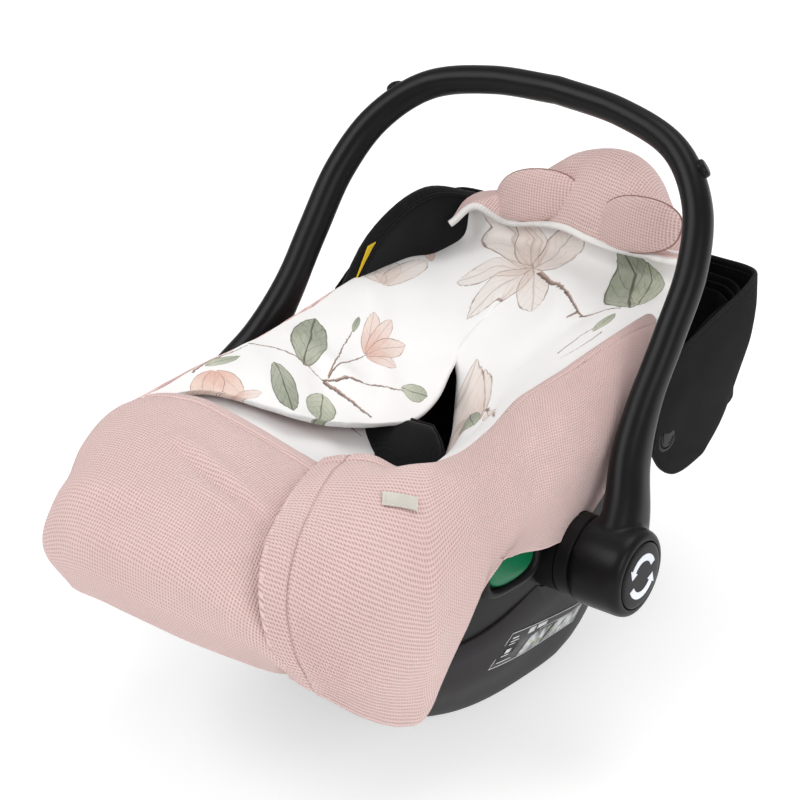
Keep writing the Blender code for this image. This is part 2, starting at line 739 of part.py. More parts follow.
def back_path(y):
    middle = curve_value(WRAP_BACK, y)
    side = 0.080 - 0.45 * max(0.0, y - 0.19)
    return [
        (side, middle + 0.024),
        (side * 0.75, middle + 0.008),
        (side * 0.35, middle),
        (-side * 0.35, middle),
        (-side * 0.75, middle + 0.008),
        (-side, middle + 0.024),
    ]


def make_flaps():
    add_object("wrap_near_flap", band(span(-0.1250, 0.166, 9), near_path, 0.006), "waffle", sharp=60)
    add_object("wrap_far_flap", band(span(-0.1250, 0.108, 7), far_path, 0.006), "lining", sharp=60)
    add_object("wrap_back_panel", band(span(0.112, 0.230, 6), back_path, 0.006), "lining", sharp=60)


def make_hood():
    """The hood lies back over the head end: a shallow pouch with two ears."""
    rings = []
    for y, half, low, high in (
        (0.245, 0.102, 0.300, 0.338),
        (0.256, 0.098, 0.298, 0.350),
        (0.275, 0.080, 0.292, 0.354),
        (0.295, 0.050, 0.292, 0.346),
    ):
        rings.append(oval_ring(y, half, low, high, 20, 0.85))
    add_object("wrap_hood", loft(rings), "waffle", sharp=60)
    for side, x, y, z in (("left", 0.078, 0.2220, 0.327), ("right", -0.040, 0.2280, 0.323)):
        ear = bmesh.new()
        bmesh.ops.create_uvsphere(ear, u_segments=16, v_segments=8, radius=1.0)
        place = (
            Matrix.Translation((x, y, z))
            @ Matrix.Rotation(math.radians(-30), 4, "X")
            @ Matrix.Diagonal((0.034, 0.0050, 0.024, 1.0))
        )
        bmesh.ops.transform(ear, matrix=place, verts=ear.verts)
        add_object(f"wrap_ear_{side}", ear, "waffle", sharp=60)


def make_wrap_label():
    label = box((0.034, -0.052, 0.2585), (0.062, -0.038, 0.2600))
    add_object("wrap_label", label, "label")


# ---- assembly -----------------------------------------------------------------------
clear_scene()
PARTS = new_collection("infant_car_seat")
CUTTERS = new_collection("cutters")
CUTTERS.hide_render = True

BOWL_CUT = bucket_cutter("cut_bowl", -GAP)
SEAT_CUT = bucket_cutter("cut_seat", -0.0012)
POCKET_CUT = bucket_cutter("cut_pocket", -0.0015, 0.006)
COVER_CUT = bucket_cutter("cut_cover", COVER_OFFSET, 0.10)
BASE_CUT = add_object(
    "cut_base", loft(base_rings(-GAP, -GAP)), None
)
ARCH_CUT = make_arch_cutter()

bucket("outer_shell", 0.0, SHELL_WALL, "shell")
bucket("foam_liner", FOAM_OFFSET, FOAM_WALL, "foam")
bucket("seat_cover", COVER_OFFSET, COVER_WALL, "cover", raise_rim=WING)
make_base()
make_base_screws()
make_handle()
make_handle_pegs()
make_hub_internals()
make_canopy()
make_padding()
make_harness()
make_buckle()
make_adjuster()
make_belt_guides()
make_rear_guide()
make_labels()
make_foot_pocket()
make_flaps()
make_hood()
make_wrap_label()
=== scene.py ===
import math

import bmesh
import bpy
import numpy as np
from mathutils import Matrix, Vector, noise


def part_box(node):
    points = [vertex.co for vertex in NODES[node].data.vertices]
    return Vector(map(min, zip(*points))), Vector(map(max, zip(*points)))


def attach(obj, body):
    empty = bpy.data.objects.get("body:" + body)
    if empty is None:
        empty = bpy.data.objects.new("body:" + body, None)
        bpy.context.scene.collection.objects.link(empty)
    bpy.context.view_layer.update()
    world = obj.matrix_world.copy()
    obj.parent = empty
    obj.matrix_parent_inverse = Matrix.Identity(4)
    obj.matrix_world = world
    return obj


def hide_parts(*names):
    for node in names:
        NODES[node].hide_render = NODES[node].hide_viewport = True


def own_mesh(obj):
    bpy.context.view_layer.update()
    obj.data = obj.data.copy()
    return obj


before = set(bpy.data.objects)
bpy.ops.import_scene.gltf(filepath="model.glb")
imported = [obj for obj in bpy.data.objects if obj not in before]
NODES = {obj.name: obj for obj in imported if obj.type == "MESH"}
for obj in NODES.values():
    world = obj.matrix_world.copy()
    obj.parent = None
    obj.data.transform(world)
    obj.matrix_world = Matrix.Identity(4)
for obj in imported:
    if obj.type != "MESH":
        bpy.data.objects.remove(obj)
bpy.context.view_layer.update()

# ---- the frame's own driving sizes, in metres ------------------------------------------
HUB_Z = 0.155
HANDLE_TILT = math.radians(38.7)
HANDLE_REACH = 0.346
KNOB_Y, KNOB_Z = 0.143, 0.192
SHELL_FRONT, SHELL_REAR = -0.270, 0.273
SHELL_HALF_WIDTH = 0.148
SHELL_MID = (SHELL_FRONT + SHELL_REAR) / 2
RIM = [
    (-0.30, 0.194), (-0.18, 0.179), (-0.05, 0.178), (0.05, 0.188),
    (0.14, 0.212), (0.22, 0.245), (0.29, 0.262),
]
BELLY = [
    (-0.30, 0.182), (-0.26, 0.167), (-0.20, 0.133), (-0.13, 0.087), (-0.06, 0.045), (0.0, 0.028),
    (0.10, 0.035), (0.18, 0.064), (0.24, 0.115), (0.29, 0.19),
]
WING = [
    (-0.30, 0.0), (0.04, 0.004), (0.10, 0.018), (0.145, 0.048), (0.20, 0.050), (0.25, 0.026), (0.29, 0.010),
]
SIDES = (("left", 1), ("right", -1))


# ---- node materials ---------------------------------------------------------------------
class Shader:
    """A Principled material and short ways to add nodes to it."""

    def __init__(self, name, **sockets):
        self.material = bpy.data.materials.new(name)
        self.material.use_nodes = True
        self.tree = self.material.node_tree
        self.bsdf = self.tree.nodes["Principled BSDF"]
        for socket, value in sockets.items():
            self.put(socket.replace("_", " "), value)

    def put(self, socket, value):
        """Sets a socket of the Principled shader, or links a node's output to it."""
        self.join(self.bsdf.inputs[socket], value)

    def join(self, socket, value):
        if isinstance(value, bpy.types.NodeSocket):
            self.tree.links.new(value, socket)
        elif isinstance(value, tuple) and len(value) == 3 and socket.type == "RGBA":
            socket.default_value = (*value, 1.0)
        else:
            socket.default_value = value

    def node(self, kind, *values, output=0, **settings):
        made = self.tree.nodes.new("ShaderNode" + kind)
        for key, value in settings.items():
            setattr(made, key, value)
        for socket, value in zip(made.inputs, values):
            if value is not None:
                self.join(socket, value)
        return made.outputs[output]

    def math(self, operation, *values, clamp=False):
        return self.node("Math", *values, operation=operation, use_clamp=clamp)

    def mix(self, share, first, second):
        made = self.tree.nodes.new("ShaderNodeMix")
        made.data_type = "RGBA"
        self.join(made.inputs[0], share)
        self.join(made.inputs[6], first)
        self.join(made.inputs[7], second)
        return made.outputs[2]

    def step(self, value, low, high, first=0.0, second=1.0):
        """A smooth step from first to second as value goes from low to high."""
        return self.node(
            "MapRange", value, low, high, first, second, interpolation_type="SMOOTHSTEP", clamp=True
        )

    def noise(self, vector, scale, detail=2.0, rough=0.5, output=0):
        made = self.tree.nodes.new("ShaderNodeTexNoise")
        self.join(made.inputs["Vector"], vector)
        made.inputs["Scale"].default_value = scale
        made.inputs["Detail"].default_value = detail
        made.inputs["Roughness"].default_value = rough
        return made.outputs[output]

    def place(self):
        return self.node("TexCoord", output=3)

    def uv(self):
        return self.node("UVMap")

    def wobbled(self, noise, place, size):
        """The x and y of a place that a noise shifts by up to half of size each way."""
        centred = self.node("VectorMath", noise, (0.5, 0.5, 0.5), operation="SUBTRACT")
        shift = self.node("VectorMath", centred, size, operation="MULTIPLY")
        bent = self.node("VectorMath", place, shift, operation="ADD")
        return [self.node("SeparateXYZ", bent, output=k) for k in range(2)]

    def bump(self, height, distance, strength):
        made = self.tree.nodes.new("ShaderNodeBump")
        made.inputs["Strength"].default_value = strength
        made.inputs["Distance"].default_value = distance
        self.join(made.inputs["Height"], height)
        self.put("Normal", made.outputs[0])


def plastic(name, colour, roughness, grain=0.00006, grain_scale=900.0, specular=0.3):
    """Moulded plastic: a fine spark-eroded grain, and roughness that drifts a little."""
    s = Shader(name, Specular_IOR_Level=specular)
    place = s.place()
    cloudy = s.noise(place, 14.0, 3.0)
    fine = s.noise(place, grain_scale, 2.0, 0.6)
    s.put("Base Color", s.mix(s.step(cloudy, 0.35, 0.7), colour, tuple(c * 1.22 for c in colour)))
    s.put("Roughness", s.step(cloudy, 0.2, 0.8, roughness - 0.035, roughness + 0.045))
    s.bump(fine, grain, 0.8)
    return s.material


def woven(name, colour, pitch, roughness=0.85, sheen=0.25, depth=0.00025):
    """A twill cloth, its threads drawn in the object's own space."""
    s = Shader(name, Roughness=roughness, Specular_IOR_Level=0.12, Sheen_Weight=sheen, Sheen_Roughness=0.45)
    x, y, z = (s.node("SeparateXYZ", s.place(), output=k) for k in range(3))
    turn = 2 * math.pi / pitch
    along = s.math("ADD", x, s.math("MULTIPLY", z, 0.8))
    across = s.math("SUBTRACT", y, s.math("MULTIPLY", z, 0.6))
    a = s.math("SINE", s.math("MULTIPLY", along, turn))
    b = s.math("SINE", s.math("MULTIPLY", across, turn))
    thread = s.math("MULTIPLY", a, b)
    cloudy = s.noise(s.place(), 22.0, 3.0)
    # Partly painted shade, partly random tone: the colour follows the thread relief, darker in the weave's
    # dips, mixed with a cloudy random tone.
    shade = s.math("ADD", s.math("MULTIPLY", thread, 0.22), cloudy)
    s.put(
        "Base Color",
        s.mix(s.step(shade, 0.2, 0.85), tuple(c * 0.72 for c in colour), tuple(c * 1.3 for c in colour))
    )
    s.bump(thread, depth, 0.7)
    return s.material


def waffle():
    """Waffle knit: raised ribs round small square pits, in the sheet's UV metres, with painted shade
    darkening the pits.
    """
    s = Shader("waffle_knit", Roughness=0.88, Specular_IOR_Level=0.18, Sheen_Weight=0.35, Sheen_Roughness=0.4)
    # The first colour is the ribs' own; the second is painted shade for the pits, not a colour of the yarn.
    light, painted_pit_shade = (0.790, 0.575, 0.545), (0.490, 0.310, 0.290)
    pitch_u, pitch_v = 0.0025, 0.0024
    soft = s.node("VectorMath", s.noise(s.uv(), 60.0, 1.0, output=1), (0.5, 0.5, 0.5), operation="SUBTRACT")
    shift = s.node("VectorMath", soft, (0.0011, 0.0011, 0.0), operation="MULTIPLY")
    place = s.node("VectorMath", s.uv(), shift, operation="ADD")
    u, v = (s.node("SeparateXYZ", place, output=k) for k in range(2))
    pit_u = s.math("ABSOLUTE", s.math("SINE", s.math("MULTIPLY", u, math.pi / pitch_u)))
    pit_v = s.math("ABSOLUTE", s.math("SINE", s.math("MULTIPLY", v, math.pi / pitch_v)))
    pit = s.math("MULTIPLY", s.math("POWER", pit_u, 1.4), s.math("POWER", pit_v, 1.1))
    fibre = s.noise(place, 1400.0, 2.0, 0.7)
    cloudy = s.noise(place, 9.0, 3.0)
    tone = s.mix(s.step(cloudy, 0.3, 0.75), light, tuple(c * k for c, k in zip(light, (0.95, 0.91, 0.92))))
    tone = s.mix(s.math("MULTIPLY", s.step(fibre, 0.35, 0.8), 0.35), tone, (0.86, 0.67, 0.62))
    # Painted shade: the pits take the darker colour, standing in for the shadow that falls inside them.
    s.put("Base Color", s.mix(s.step(pit, 0.22, 0.95, 0.0, 0.85), tone, painted_pit_shade))
    height = s.math("SUBTRACT", s.math("MULTIPLY", fibre, 0.25), pit)
    s.bump(height, 0.0009, 0.8)
    return s.material


def drawing(name, colours, numbers):
    """A node group that draws one motif over a colour, and the outputs of its inputs."""
    tree = bpy.data.node_groups.new(name, "ShaderNodeTree")
    inputs = [("Under", "Color"), ("Place", "Vector")]
    inputs += [(label, "Color") for label in colours] + [(label, "Float") for label in numbers]
    for label, kind in inputs:
        tree.interface.new_socket(label, in_out="INPUT", socket_type="NodeSocket" + kind)
    tree.interface.new_socket("Colour", in_out="OUTPUT", socket_type="NodeSocketColor")
    s = Shader.__new__(Shader)
    s.tree = tree
    inside = tree.nodes.new("NodeGroupInput").outputs
    return s, [inside[k] for k in range(len(inputs))]


def petal_group():
    """One leaf or petal laid over the colour that comes in: a pointed oval with a rib, side
    veins, a pale watercolour fill and a thin uneven outline. Its own space has the stem at
    the origin, the tip at x 1 and the widest part at y plus or minus 1."""
    s, (under, place, fill, tip, line, full, opacity, veins, width) = drawing(
        "petal", colours=("Base fill", "Tip fill", "Line"), numbers=(
            "Fullness", "Opacity", "Veins", "Line width"
        )
    )
    x, y = s.wobbled(s.noise(place, 2.6, 3.0, output=1), place, (0.10, 0.36, 0.0))
    on_axis = s.math(
        "MULTIPLY", s.math("MAXIMUM", x, 0.0), s.math("MAXIMUM", s.math("SUBTRACT", 1.0, x), 0.0)
    )
    outline = s.math("POWER", s.math("MULTIPLY", on_axis, 4.0), full)
    side = s.math("ABSOLUTE", y)
    inset = s.math("SUBTRACT", outline, side)
    inner = s.step(inset, 0.0, 0.045)
    edge = s.math("SUBTRACT", inner, s.step(inset, width, s.math("MULTIPLY", width, 2.6)))
    wash = s.noise(place, 5.0, 4.0, 0.6)
    rib = s.math("MULTIPLY", s.step(side, 0.03, 0.075, 1.0, 0.0), inner)
    comb = s.math("SINE", s.math("ADD", s.math("MULTIPLY", x, 34.0), s.math("MULTIPLY", side, -13.0)))
    comb = s.math("MULTIPLY", s.step(comb, 0.93, 1.0), s.math("MULTIPLY", inner, 0.55))
    drawn = s.math("MULTIPLY", s.math("MAXIMUM", rib, comb), veins)
    patchy = s.step(wash, 0.3, 0.62)
    edge = s.math("MULTIPLY", edge, s.math("MULTIPLY_ADD", patchy, 0.75, 0.25))
    colour = s.mix(s.step(x, 0.1, 0.8), fill, tip)
    colour = s.mix(s.math("MULTIPLY", patchy, 0.22), colour, (0.93, 0.90, 0.87))
    strength = s.math(
        "MULTIPLY", inner, s.math("MULTIPLY", opacity, s.math("MULTIPLY_ADD", wash, 0.5, 0.78)), clamp=True
    )
    out = s.mix(strength, under, colour)
    out = s.mix(s.math("MAXIMUM", s.math("MULTIPLY", edge, 0.95), drawn), out, line)
    s.join(s.tree.nodes.new("NodeGroupOutput").inputs[0], out)
    return s.tree


def twig_group():
    """A bent twig that thins towards its end: it runs from the origin to x 1, bowed by Bend."""
    s, (under, place, bark, bend, thick) = drawing("twig", colours=("Bark",), numbers=("Bend", "Thickness"))
    x, y = s.wobbled(s.noise(place, 7.0, 3.0, 0.7, output=1), place, (0.0, 0.07, 0.0))
    bow = s.math("MULTIPLY", s.math("MULTIPLY", x, s.math("SUBTRACT", 1.0, x)), bend)
    off = s.math("ABSOLUTE", s.math("SUBTRACT", y, bow))
    knots = s.noise(place, 16.0, 2.0, 0.7)
    half = s.math(
        "MULTIPLY", thick, s.math("MULTIPLY_ADD", knots, 1.5, s.math("MULTIPLY_ADD", x, -0.55, 0.45))
    )
    line = s.step(s.math("SUBTRACT", half, off), 0.0, s.math("MULTIPLY", thick, 0.45))
    ends = s.math("MULTIPLY", s.step(x, -0.01, 0.01), s.step(x, 0.99, 1.01, 1.0, 0.0))
    shade = s.mix(
        s.step(s.math("SUBTRACT", y, bow), s.math("MULTIPLY", thick, -0.5), thick), bark, (0.55, 0.36, 0.27)
    )
    strength = s.math("MULTIPLY", s.math("MULTIPLY", line, ends), 0.9)
    s.join(s.tree.nodes.new("NodeGroupOutput").inputs[0], s.mix(strength, under, shade))
    return s.tree


SAGE = ((0.33, 0.36, 0.25), (0.20, 0.235, 0.15), (0.075, 0.072, 0.045))
PALE_SAGE = ((0.48, 0.50, 0.37), (0.31, 0.35, 0.24), (0.14, 0.13, 0.085))
BLUSH = ((0.66, 0.39, 0.31), (0.78, 0.61, 0.54), (0.23, 0.115, 0.085))
PALE_BLUSH = ((0.69, 0.53, 0.46), (0.79, 0.69, 0.63), (0.25, 0.15, 0.12))
SALMON = ((0.68, 0.38, 0.29), (0.76, 0.54, 0.45), (0.28, 0.13, 0.10))
CREAM = ((0.62, 0.47, 0.40), (0.78, 0.68, 0.61), (0.21, 0.12, 0.09))
BARK = (0.085, 0.042, 0.029)


def petal(start, end, half, colours=PALE_BLUSH, opacity=0.75, veins=0.22, full=0.62, line=0.050):
    return ("petal", start, end, half, colours, full, opacity, veins, line)


def leaf(start, end, half, colours=SAGE):
    return petal(start, end, half, colours, 0.95, 0.85, 0.72, 0.05)


def twig(start, end, half=0.0013, bend=0.15):
    return ("twig", start, end, half, bend)


def bloom(at, tips, half, colours, opacity, veins=0.2):
    return [petal(at, tip, half * size, colours, opacity, veins) for *tip, size in tips]


MOTIFS = [
    # In the lining's own metres: x across the seat, y up its back. Under ones come first.
    leaf((-0.090, -0.002), (-0.124, 0.052), 0.0170),
    leaf((-0.061, -0.002), (-0.040, -0.030), 0.0150, PALE_SAGE),
    leaf((-0.103, -0.026), (-0.058, -0.046), 0.0130), twig((-0.136, -0.020), (-0.070, 0.008), 0.0010, 0.10),
    twig((-0.070, 0.008), (-0.021, 0.020), 0.0019, -0.12),
    twig((-0.072, 0.008), (-0.018, 0.059), 0.0011, -0.12),
    leaf((-0.024, 0.057), (-0.004, 0.071), 0.0070, PALE_SAGE),
    twig((-0.069, 0.013), (-0.091, 0.066), 0.0010, 0.10), leaf((-0.089, 0.062), (-0.096, 0.076), 0.0030),
    twig((-0.070, 0.015), (-0.064, 0.055), 0.0011, 0.2),
    *bloom(
        (-0.064, 0.054),
        ((-0.089, 0.085, 1.0), (-0.040, 0.066, 1.0), (-0.074, 0.092, 1.0), (-0.050, 0.088, 1.3)),
        0.0068, BLUSH, 0.85, 0.35
    ),
    *bloom(
        (-0.108, 0.117), ((-0.128, 0.160, 1.0), (-0.106, 0.178, 1.2), (-0.133, 0.133, 0.8)),
        0.0110, PALE_BLUSH, 0.6
    ),
    petal((-0.102, 0.180), (-0.124, 0.210), 0.0050, BLUSH),
    petal((-0.112, 0.222), (-0.129, 0.238), 0.0028, BLUSH),
    *bloom(
        (-0.007, 0.181),
        ((-0.082, 0.226, 1.3), (-0.048, 0.228, 1.0), (0.020, 0.232, 1.35), (-0.058, 0.156, 1.0),
         (-0.022, 0.128, 1.1), (0.026, 0.140, 0.95)),
        0.0135, CREAM, 0.55, 0.35
    ),
    twig((0.001, 0.178), (0.042, 0.155), 0.0026, 0.12), twig((0.040, 0.157), (0.067, 0.147), 0.0019, -0.2),
    twig((0.065, 0.146), (0.096, 0.149), 0.0013, 0.15), twig((0.061, 0.148), (0.057, 0.138), 0.0012, 0.0),
    leaf((0.102, 0.150), (0.066, 0.222), 0.0215), leaf((0.106, 0.156), (0.092, 0.212), 0.0120, PALE_SAGE),
    leaf((0.093, 0.119), (0.096, 0.142), 0.0048, PALE_SAGE),
    twig((0.080, 0.098), (0.092, 0.125), 0.0008, 0.2), twig((0.101, 0.118), (0.088, 0.088), 0.0007, 0.2),
    *bloom(
        (0.061, 0.040), ((0.004, 0.098, 1.0), (0.024, 0.100, 1.0), (0.010, 0.106, 1.15)),
        0.0085, PALE_BLUSH, 0.8, 0.3
    ),
    leaf((0.062, 0.038), (0.043, 0.066), 0.0045), twig((0.058, 0.058), (0.086, 0.012), 0.0012, 0.1),
    leaf((0.076, 0.030), (0.062, 0.052), 0.0035, PALE_BLUSH),
    *bloom(
        (-0.126, -0.076), ((-0.120, -0.106, 1.0), (-0.094, -0.071, 1.0), (-0.108, -0.094, 1.1)),
        0.0090, SALMON, 0.9
    ),
    petal((-0.098, -0.076), (-0.086, -0.058), 0.0040, BLUSH),
    twig((-0.137, -0.092), (-0.134, -0.024), 0.0009, 0.10),
    leaf((-0.136, -0.078), (-0.127, -0.042), 0.0050, PALE_SAGE),
    # The layer in the foot pocket, half a metre to the side.
    twig((0.362, -0.022), (0.396, -0.008), 0.0010), leaf((0.384, -0.008), (0.413, 0.011), 0.0080),
    *bloom(
        (0.449, 0.022), ((0.412, 0.008, 1.0), (0.428, 0.002, 0.9), (0.431, 0.034, 0.8)),
        0.0075, PALE_BLUSH, 0.8, 0.3
    ),
    twig((0.440, 0.018), (0.470, 0.034), 0.0009),
]
PRINT_CELL = 0.07


def touches(motif, cell):
    """Whether a motif reaches into one square of the lining."""
    start, end = np.array(motif[1]), np.array(motif[2])
    length = np.linalg.norm(end - start)
    reach = 0.003 + 1.3 * motif[3] + (0.25 * abs(motif[4]) * length if motif[0] == "twig" else 0.05 * length)
    low = np.array(cell) * PRINT_CELL - reach
    spots = start + np.linspace(-0.03, 1.03, 20)[:, None] * (end - start)
    return bool(((spots > low) & (spots < low + PRINT_CELL + 2 * reach)).all(axis=1).any())


def cotton(name, motifs=()):
    """White satin cotton with a watercolour print of the given motifs."""
    tint = (0.885, 0.872, 0.862)
    s = Shader(name, Roughness=0.46, Specular_IOR_Level=0.42, Sheen_Weight=0.15, Sheen_Roughness=0.35)
    colour = s.mix(s.step(s.noise(s.uv(), 11.0, 3.0), 0.4, 0.75), tint, tuple(c * 0.975 for c in tint))
    for kind, start, end, half, *values in motifs:
        length = math.dist(start, end)
        place = s.tree.nodes.new("ShaderNodeMapping")
        place.vector_type = "TEXTURE"
        s.join(place.inputs[0], s.uv())
        place.inputs[1].default_value = (*start, 0.0)
        place.inputs[2].default_value = (0.0, 0.0, math.atan2(end[1] - start[1], end[0] - start[0]))
        place.inputs[3].default_value = (length, half if kind == "petal" else length, 1.0)
        if kind == "petal":
            colours, full, opacity, veins, line = values
            values = (*colours, full, opacity, veins, line)
        else:
            values = (BARK, values[0], half / length)
        made = s.tree.nodes.new("ShaderNodeGroup")
        made.node_tree = bpy.data.node_groups.get(kind) or {"petal": petal_group, "twig": twig_group}[kind]()
        for socket, value in zip(made.inputs, (colour, place.outputs[0], *values)):
            s.join(socket, value)
        colour = made.outputs[0]
    u, v = (s.node("SeparateXYZ", s.uv(), output=k) for k in range(2))
    rows, columns = (s.math("SINE", s.math("MULTIPLY", value, 2 * math.pi / 0.0007)) for value in (u, v))
    s.put("Base Color", colour)
    s.bump(s.math("MULTIPLY", rows, columns), 0.00006, 0.5)
    return s.material


def printed(obj):
    """Gives each upper face of a sheet the print of the square of lining it lies in."""
    mesh = obj.data
    places = np.empty(len(mesh.loops) * 2, np.float32)
    mesh.uv_layers[0].data.foreach_get("uv", places)
    first, kinds = np.empty(len(mesh.polygons), np.int32), np.empty(len(mesh.polygons), np.int32)
    mesh.polygons.foreach_get("loop_start", first)
    mesh.polygons.foreach_get("material_index", kinds)
    cells = np.floor(places.reshape(-1, 2)[first] / PRINT_CELL).astype(int)
    upper = kinds == 0
    for cell in np.unique(cells[upper], axis=0):
        found = [motif for motif in MOTIFS if touches(motif, cell)]
        if not found:
            continue
        name = f"lining_print_{cell[0] + 9}_{cell[1] + 9}"
        mesh.materials.append(bpy.data.materials.get(name) or cotton(name, found))
        kinds[upper & (cells == cell).all(axis=1)] = len(mesh.materials) - 1
    mesh.polygons.foreach_set("material_index", kinds)


# ---- mesh helpers -----------------------------------------------------------------------
def curve_value(points, t):
    """Catmull-Rom through (position, value) points, held at both ends."""
    if t <= points[0][0]:
        return points[0][1]
    if t >= points[-1][0]:
        return points[-1][1]
    i = max(k for k in range(len(points) - 1) if points[k][0] <= t)
    (x1, y1), (x2, y2) = points[i], points[i + 1]
    x0, y0 = points[i - 1] if i else (2 * x1 - x2, 2 * y1 - y2)
    x3, y3 = points[i + 2] if i + 2 < len(points) else (2 * x2 - x1, 2 * y2 - y1)
    span = x2 - x1
    m1, m2 = (y2 - y0) / (x2 - x0) * span, (y3 - y1) / (x3 - x1) * span
    u = (t - x1) / span
    return (
        (2 * u**3 - 3 * u**2 + 1) * y1
        + (u**3 - 2 * u**2 + u) * m1
        + (-2 * u**3 + 3 * u**2) * y2
        + (u**3 - u**2) * m2
    )


def circle(count):
    """The angles of count points round a circle."""
    return [2 * math.pi * k / count for k in range(count)]


def power(value, exponent):
    return math.copysign(abs(value) ** exponent, value)


def smooth_rows(points, per_span):
    """Catmull-Rom through the first axis of an array."""
    p = np.asarray(points, float)
    q = np.concatenate([[2 * p[0] - p[1]], p, [2 * p[-1] - p[-2]]])
    out = []
    for i in range(1, len(q) - 2):
        p0, p1, p2, p3 = q[i - 1 : i + 3]
        for k in range(per_span):
            u = k / per_span
            cubic = (3 * p1 - p0 - 3 * p2 + p3) * u**3
            out.append(0.5 * (2 * p1 + (p2 - p0) * u + (2 * p0 - 5 * p1 + 4 * p2 - p3) * u**2 + cubic))
    out.append(q[-2])
    return np.array(out)


def even(line, count):
    """The same line with its points at even distances."""
    line = np.asarray(line, float)
    steps = np.linalg.norm(np.diff(line, axis=0), axis=1)
    at = np.concatenate([[0], np.cumsum(steps)])
    wanted = np.linspace(0, at[-1], count)
    return np.stack([np.interp(wanted, at, line[:, k]) for k in range(line.shape[1])], axis=1)


def patch(grid, rows, columns, relaxed=3):
    """A dense grid through a coarse one: rows by columns points, evenly spaced both ways."""
    dense = smooth_rows(np.asarray(grid, float), 8)
    dense = np.stack([even(line, columns) for line in (smooth_rows(row, 8) for row in dense)])
    dense = np.stack([even(dense[:, k], rows) for k in range(columns)], axis=1)
    for _ in range(relaxed):
        middle = (dense[:-2, 1:-1] + dense[2:, 1:-1] + dense[1:-1, :-2] + dense[1:-1, 2:]) / 4
        dense[1:-1, 1:-1] += 0.6 * (middle - dense[1:-1, 1:-1])
    return dense


def normals(grid):
    across = np.gradient(grid, axis=1)
    along = np.gradient(grid, axis=0)
    made = np.cross(across, along)
    return made / np.maximum(np.linalg.norm(made, axis=2, keepdims=True), 1e-12)


def metres(grid, centre=0):
    """UV in metres: along each row from the centre column, and down the mean column."""
    steps = np.linalg.norm(np.diff(grid, axis=1), axis=2)
    u = np.concatenate([np.zeros((len(grid), 1)), np.cumsum(steps, axis=1)], axis=1)
    u = u - u[:, [centre]]
    down = np.linalg.norm(np.diff(grid, axis=0), axis=2).mean(axis=1)
    v = np.concatenate([[0], np.cumsum(down)])
    return np.stack([u, np.repeat(v[:, None], grid.shape[1], axis=1)], axis=2)


def pressed(grid, folds=(), ripple=0.0, size=0.05, seed=0.0):
    """Moves a sheet along its normals: folds are (start, end, height, width) ridges or, with
    a negative height, creases; ripple is the height of a soft unevenness."""
    normal = normals(grid)
    lift = np.zeros(grid.shape[:2])
    for start, end, height, width in folds:
        a, b = np.array(start, float), np.array(end, float)
        share = np.clip(((grid - a) @ (b - a)) / ((b - a) @ (b - a)), 0, 1)
        off = np.linalg.norm(grid - (a + share[..., None] * (b - a)), axis=2)
        lift += height * np.exp(-((off / width) ** 2)) * (0.35 + 0.65 * np.sin(np.pi * (0.1 + 0.8 * share)))
    if ripple:
        for i in range(grid.shape[0]):
            for j in range(grid.shape[1]):
                spot = Vector(grid[i, j]) / size + Vector((seed, seed, seed))
                lift[i, j] += ripple * (noise.noise(spot) + 0.4 * noise.noise(spot * 2.3))
    return grid + normal * lift[..., None]


def new_object(name, vertices, faces, materials, kinds=None, uv=None, smooth=True):
    mesh = bpy.data.meshes.new(name)
    mesh.from_pydata([tuple(v) for v in vertices], [], [tuple(f) for f in faces])
    for made in materials:
        mesh.materials.append(made)
    if kinds is not None:
        mesh.polygons.foreach_set("material_index", np.asarray(kinds, np.int32))
    if uv is not None:
        layer = mesh.uv_layers.new(name="UVMap")
        index = np.empty(len(mesh.loops), np.int32)
        mesh.loops.foreach_get("vertex_index", index)
        layer.data.foreach_set("uv", np.asarray(uv, np.float32)[index].ravel())
    if smooth:
        mesh.shade_smooth()
    mesh.update()
    made = bpy.data.objects.new(name, mesh)
    bpy.context.scene.collection.objects.link(made)
    return made


def grid_faces(rows, columns):
    """The point numbers of a grid and its four-sided faces."""
    index = np.arange(rows * columns).reshape(rows, columns)
    return index, np.stack(
        [index[:-1, :-1], index[:-1, 1:], index[1:, 1:], index[1:, :-1]], axis=2
    ).reshape(-1, 4)


def border_of(rows, columns):
    """The (row, column) places round the edge of a grid, in order."""
    there = [(0, j) for j in range(columns - 1)] + [(i, columns - 1) for i in range(rows - 1)]
    back = [(rows - 1, j) for j in range(columns - 1, 0, -1)] + [(i, 0) for i in range(rows - 1, 0, -1)]
    return there + back


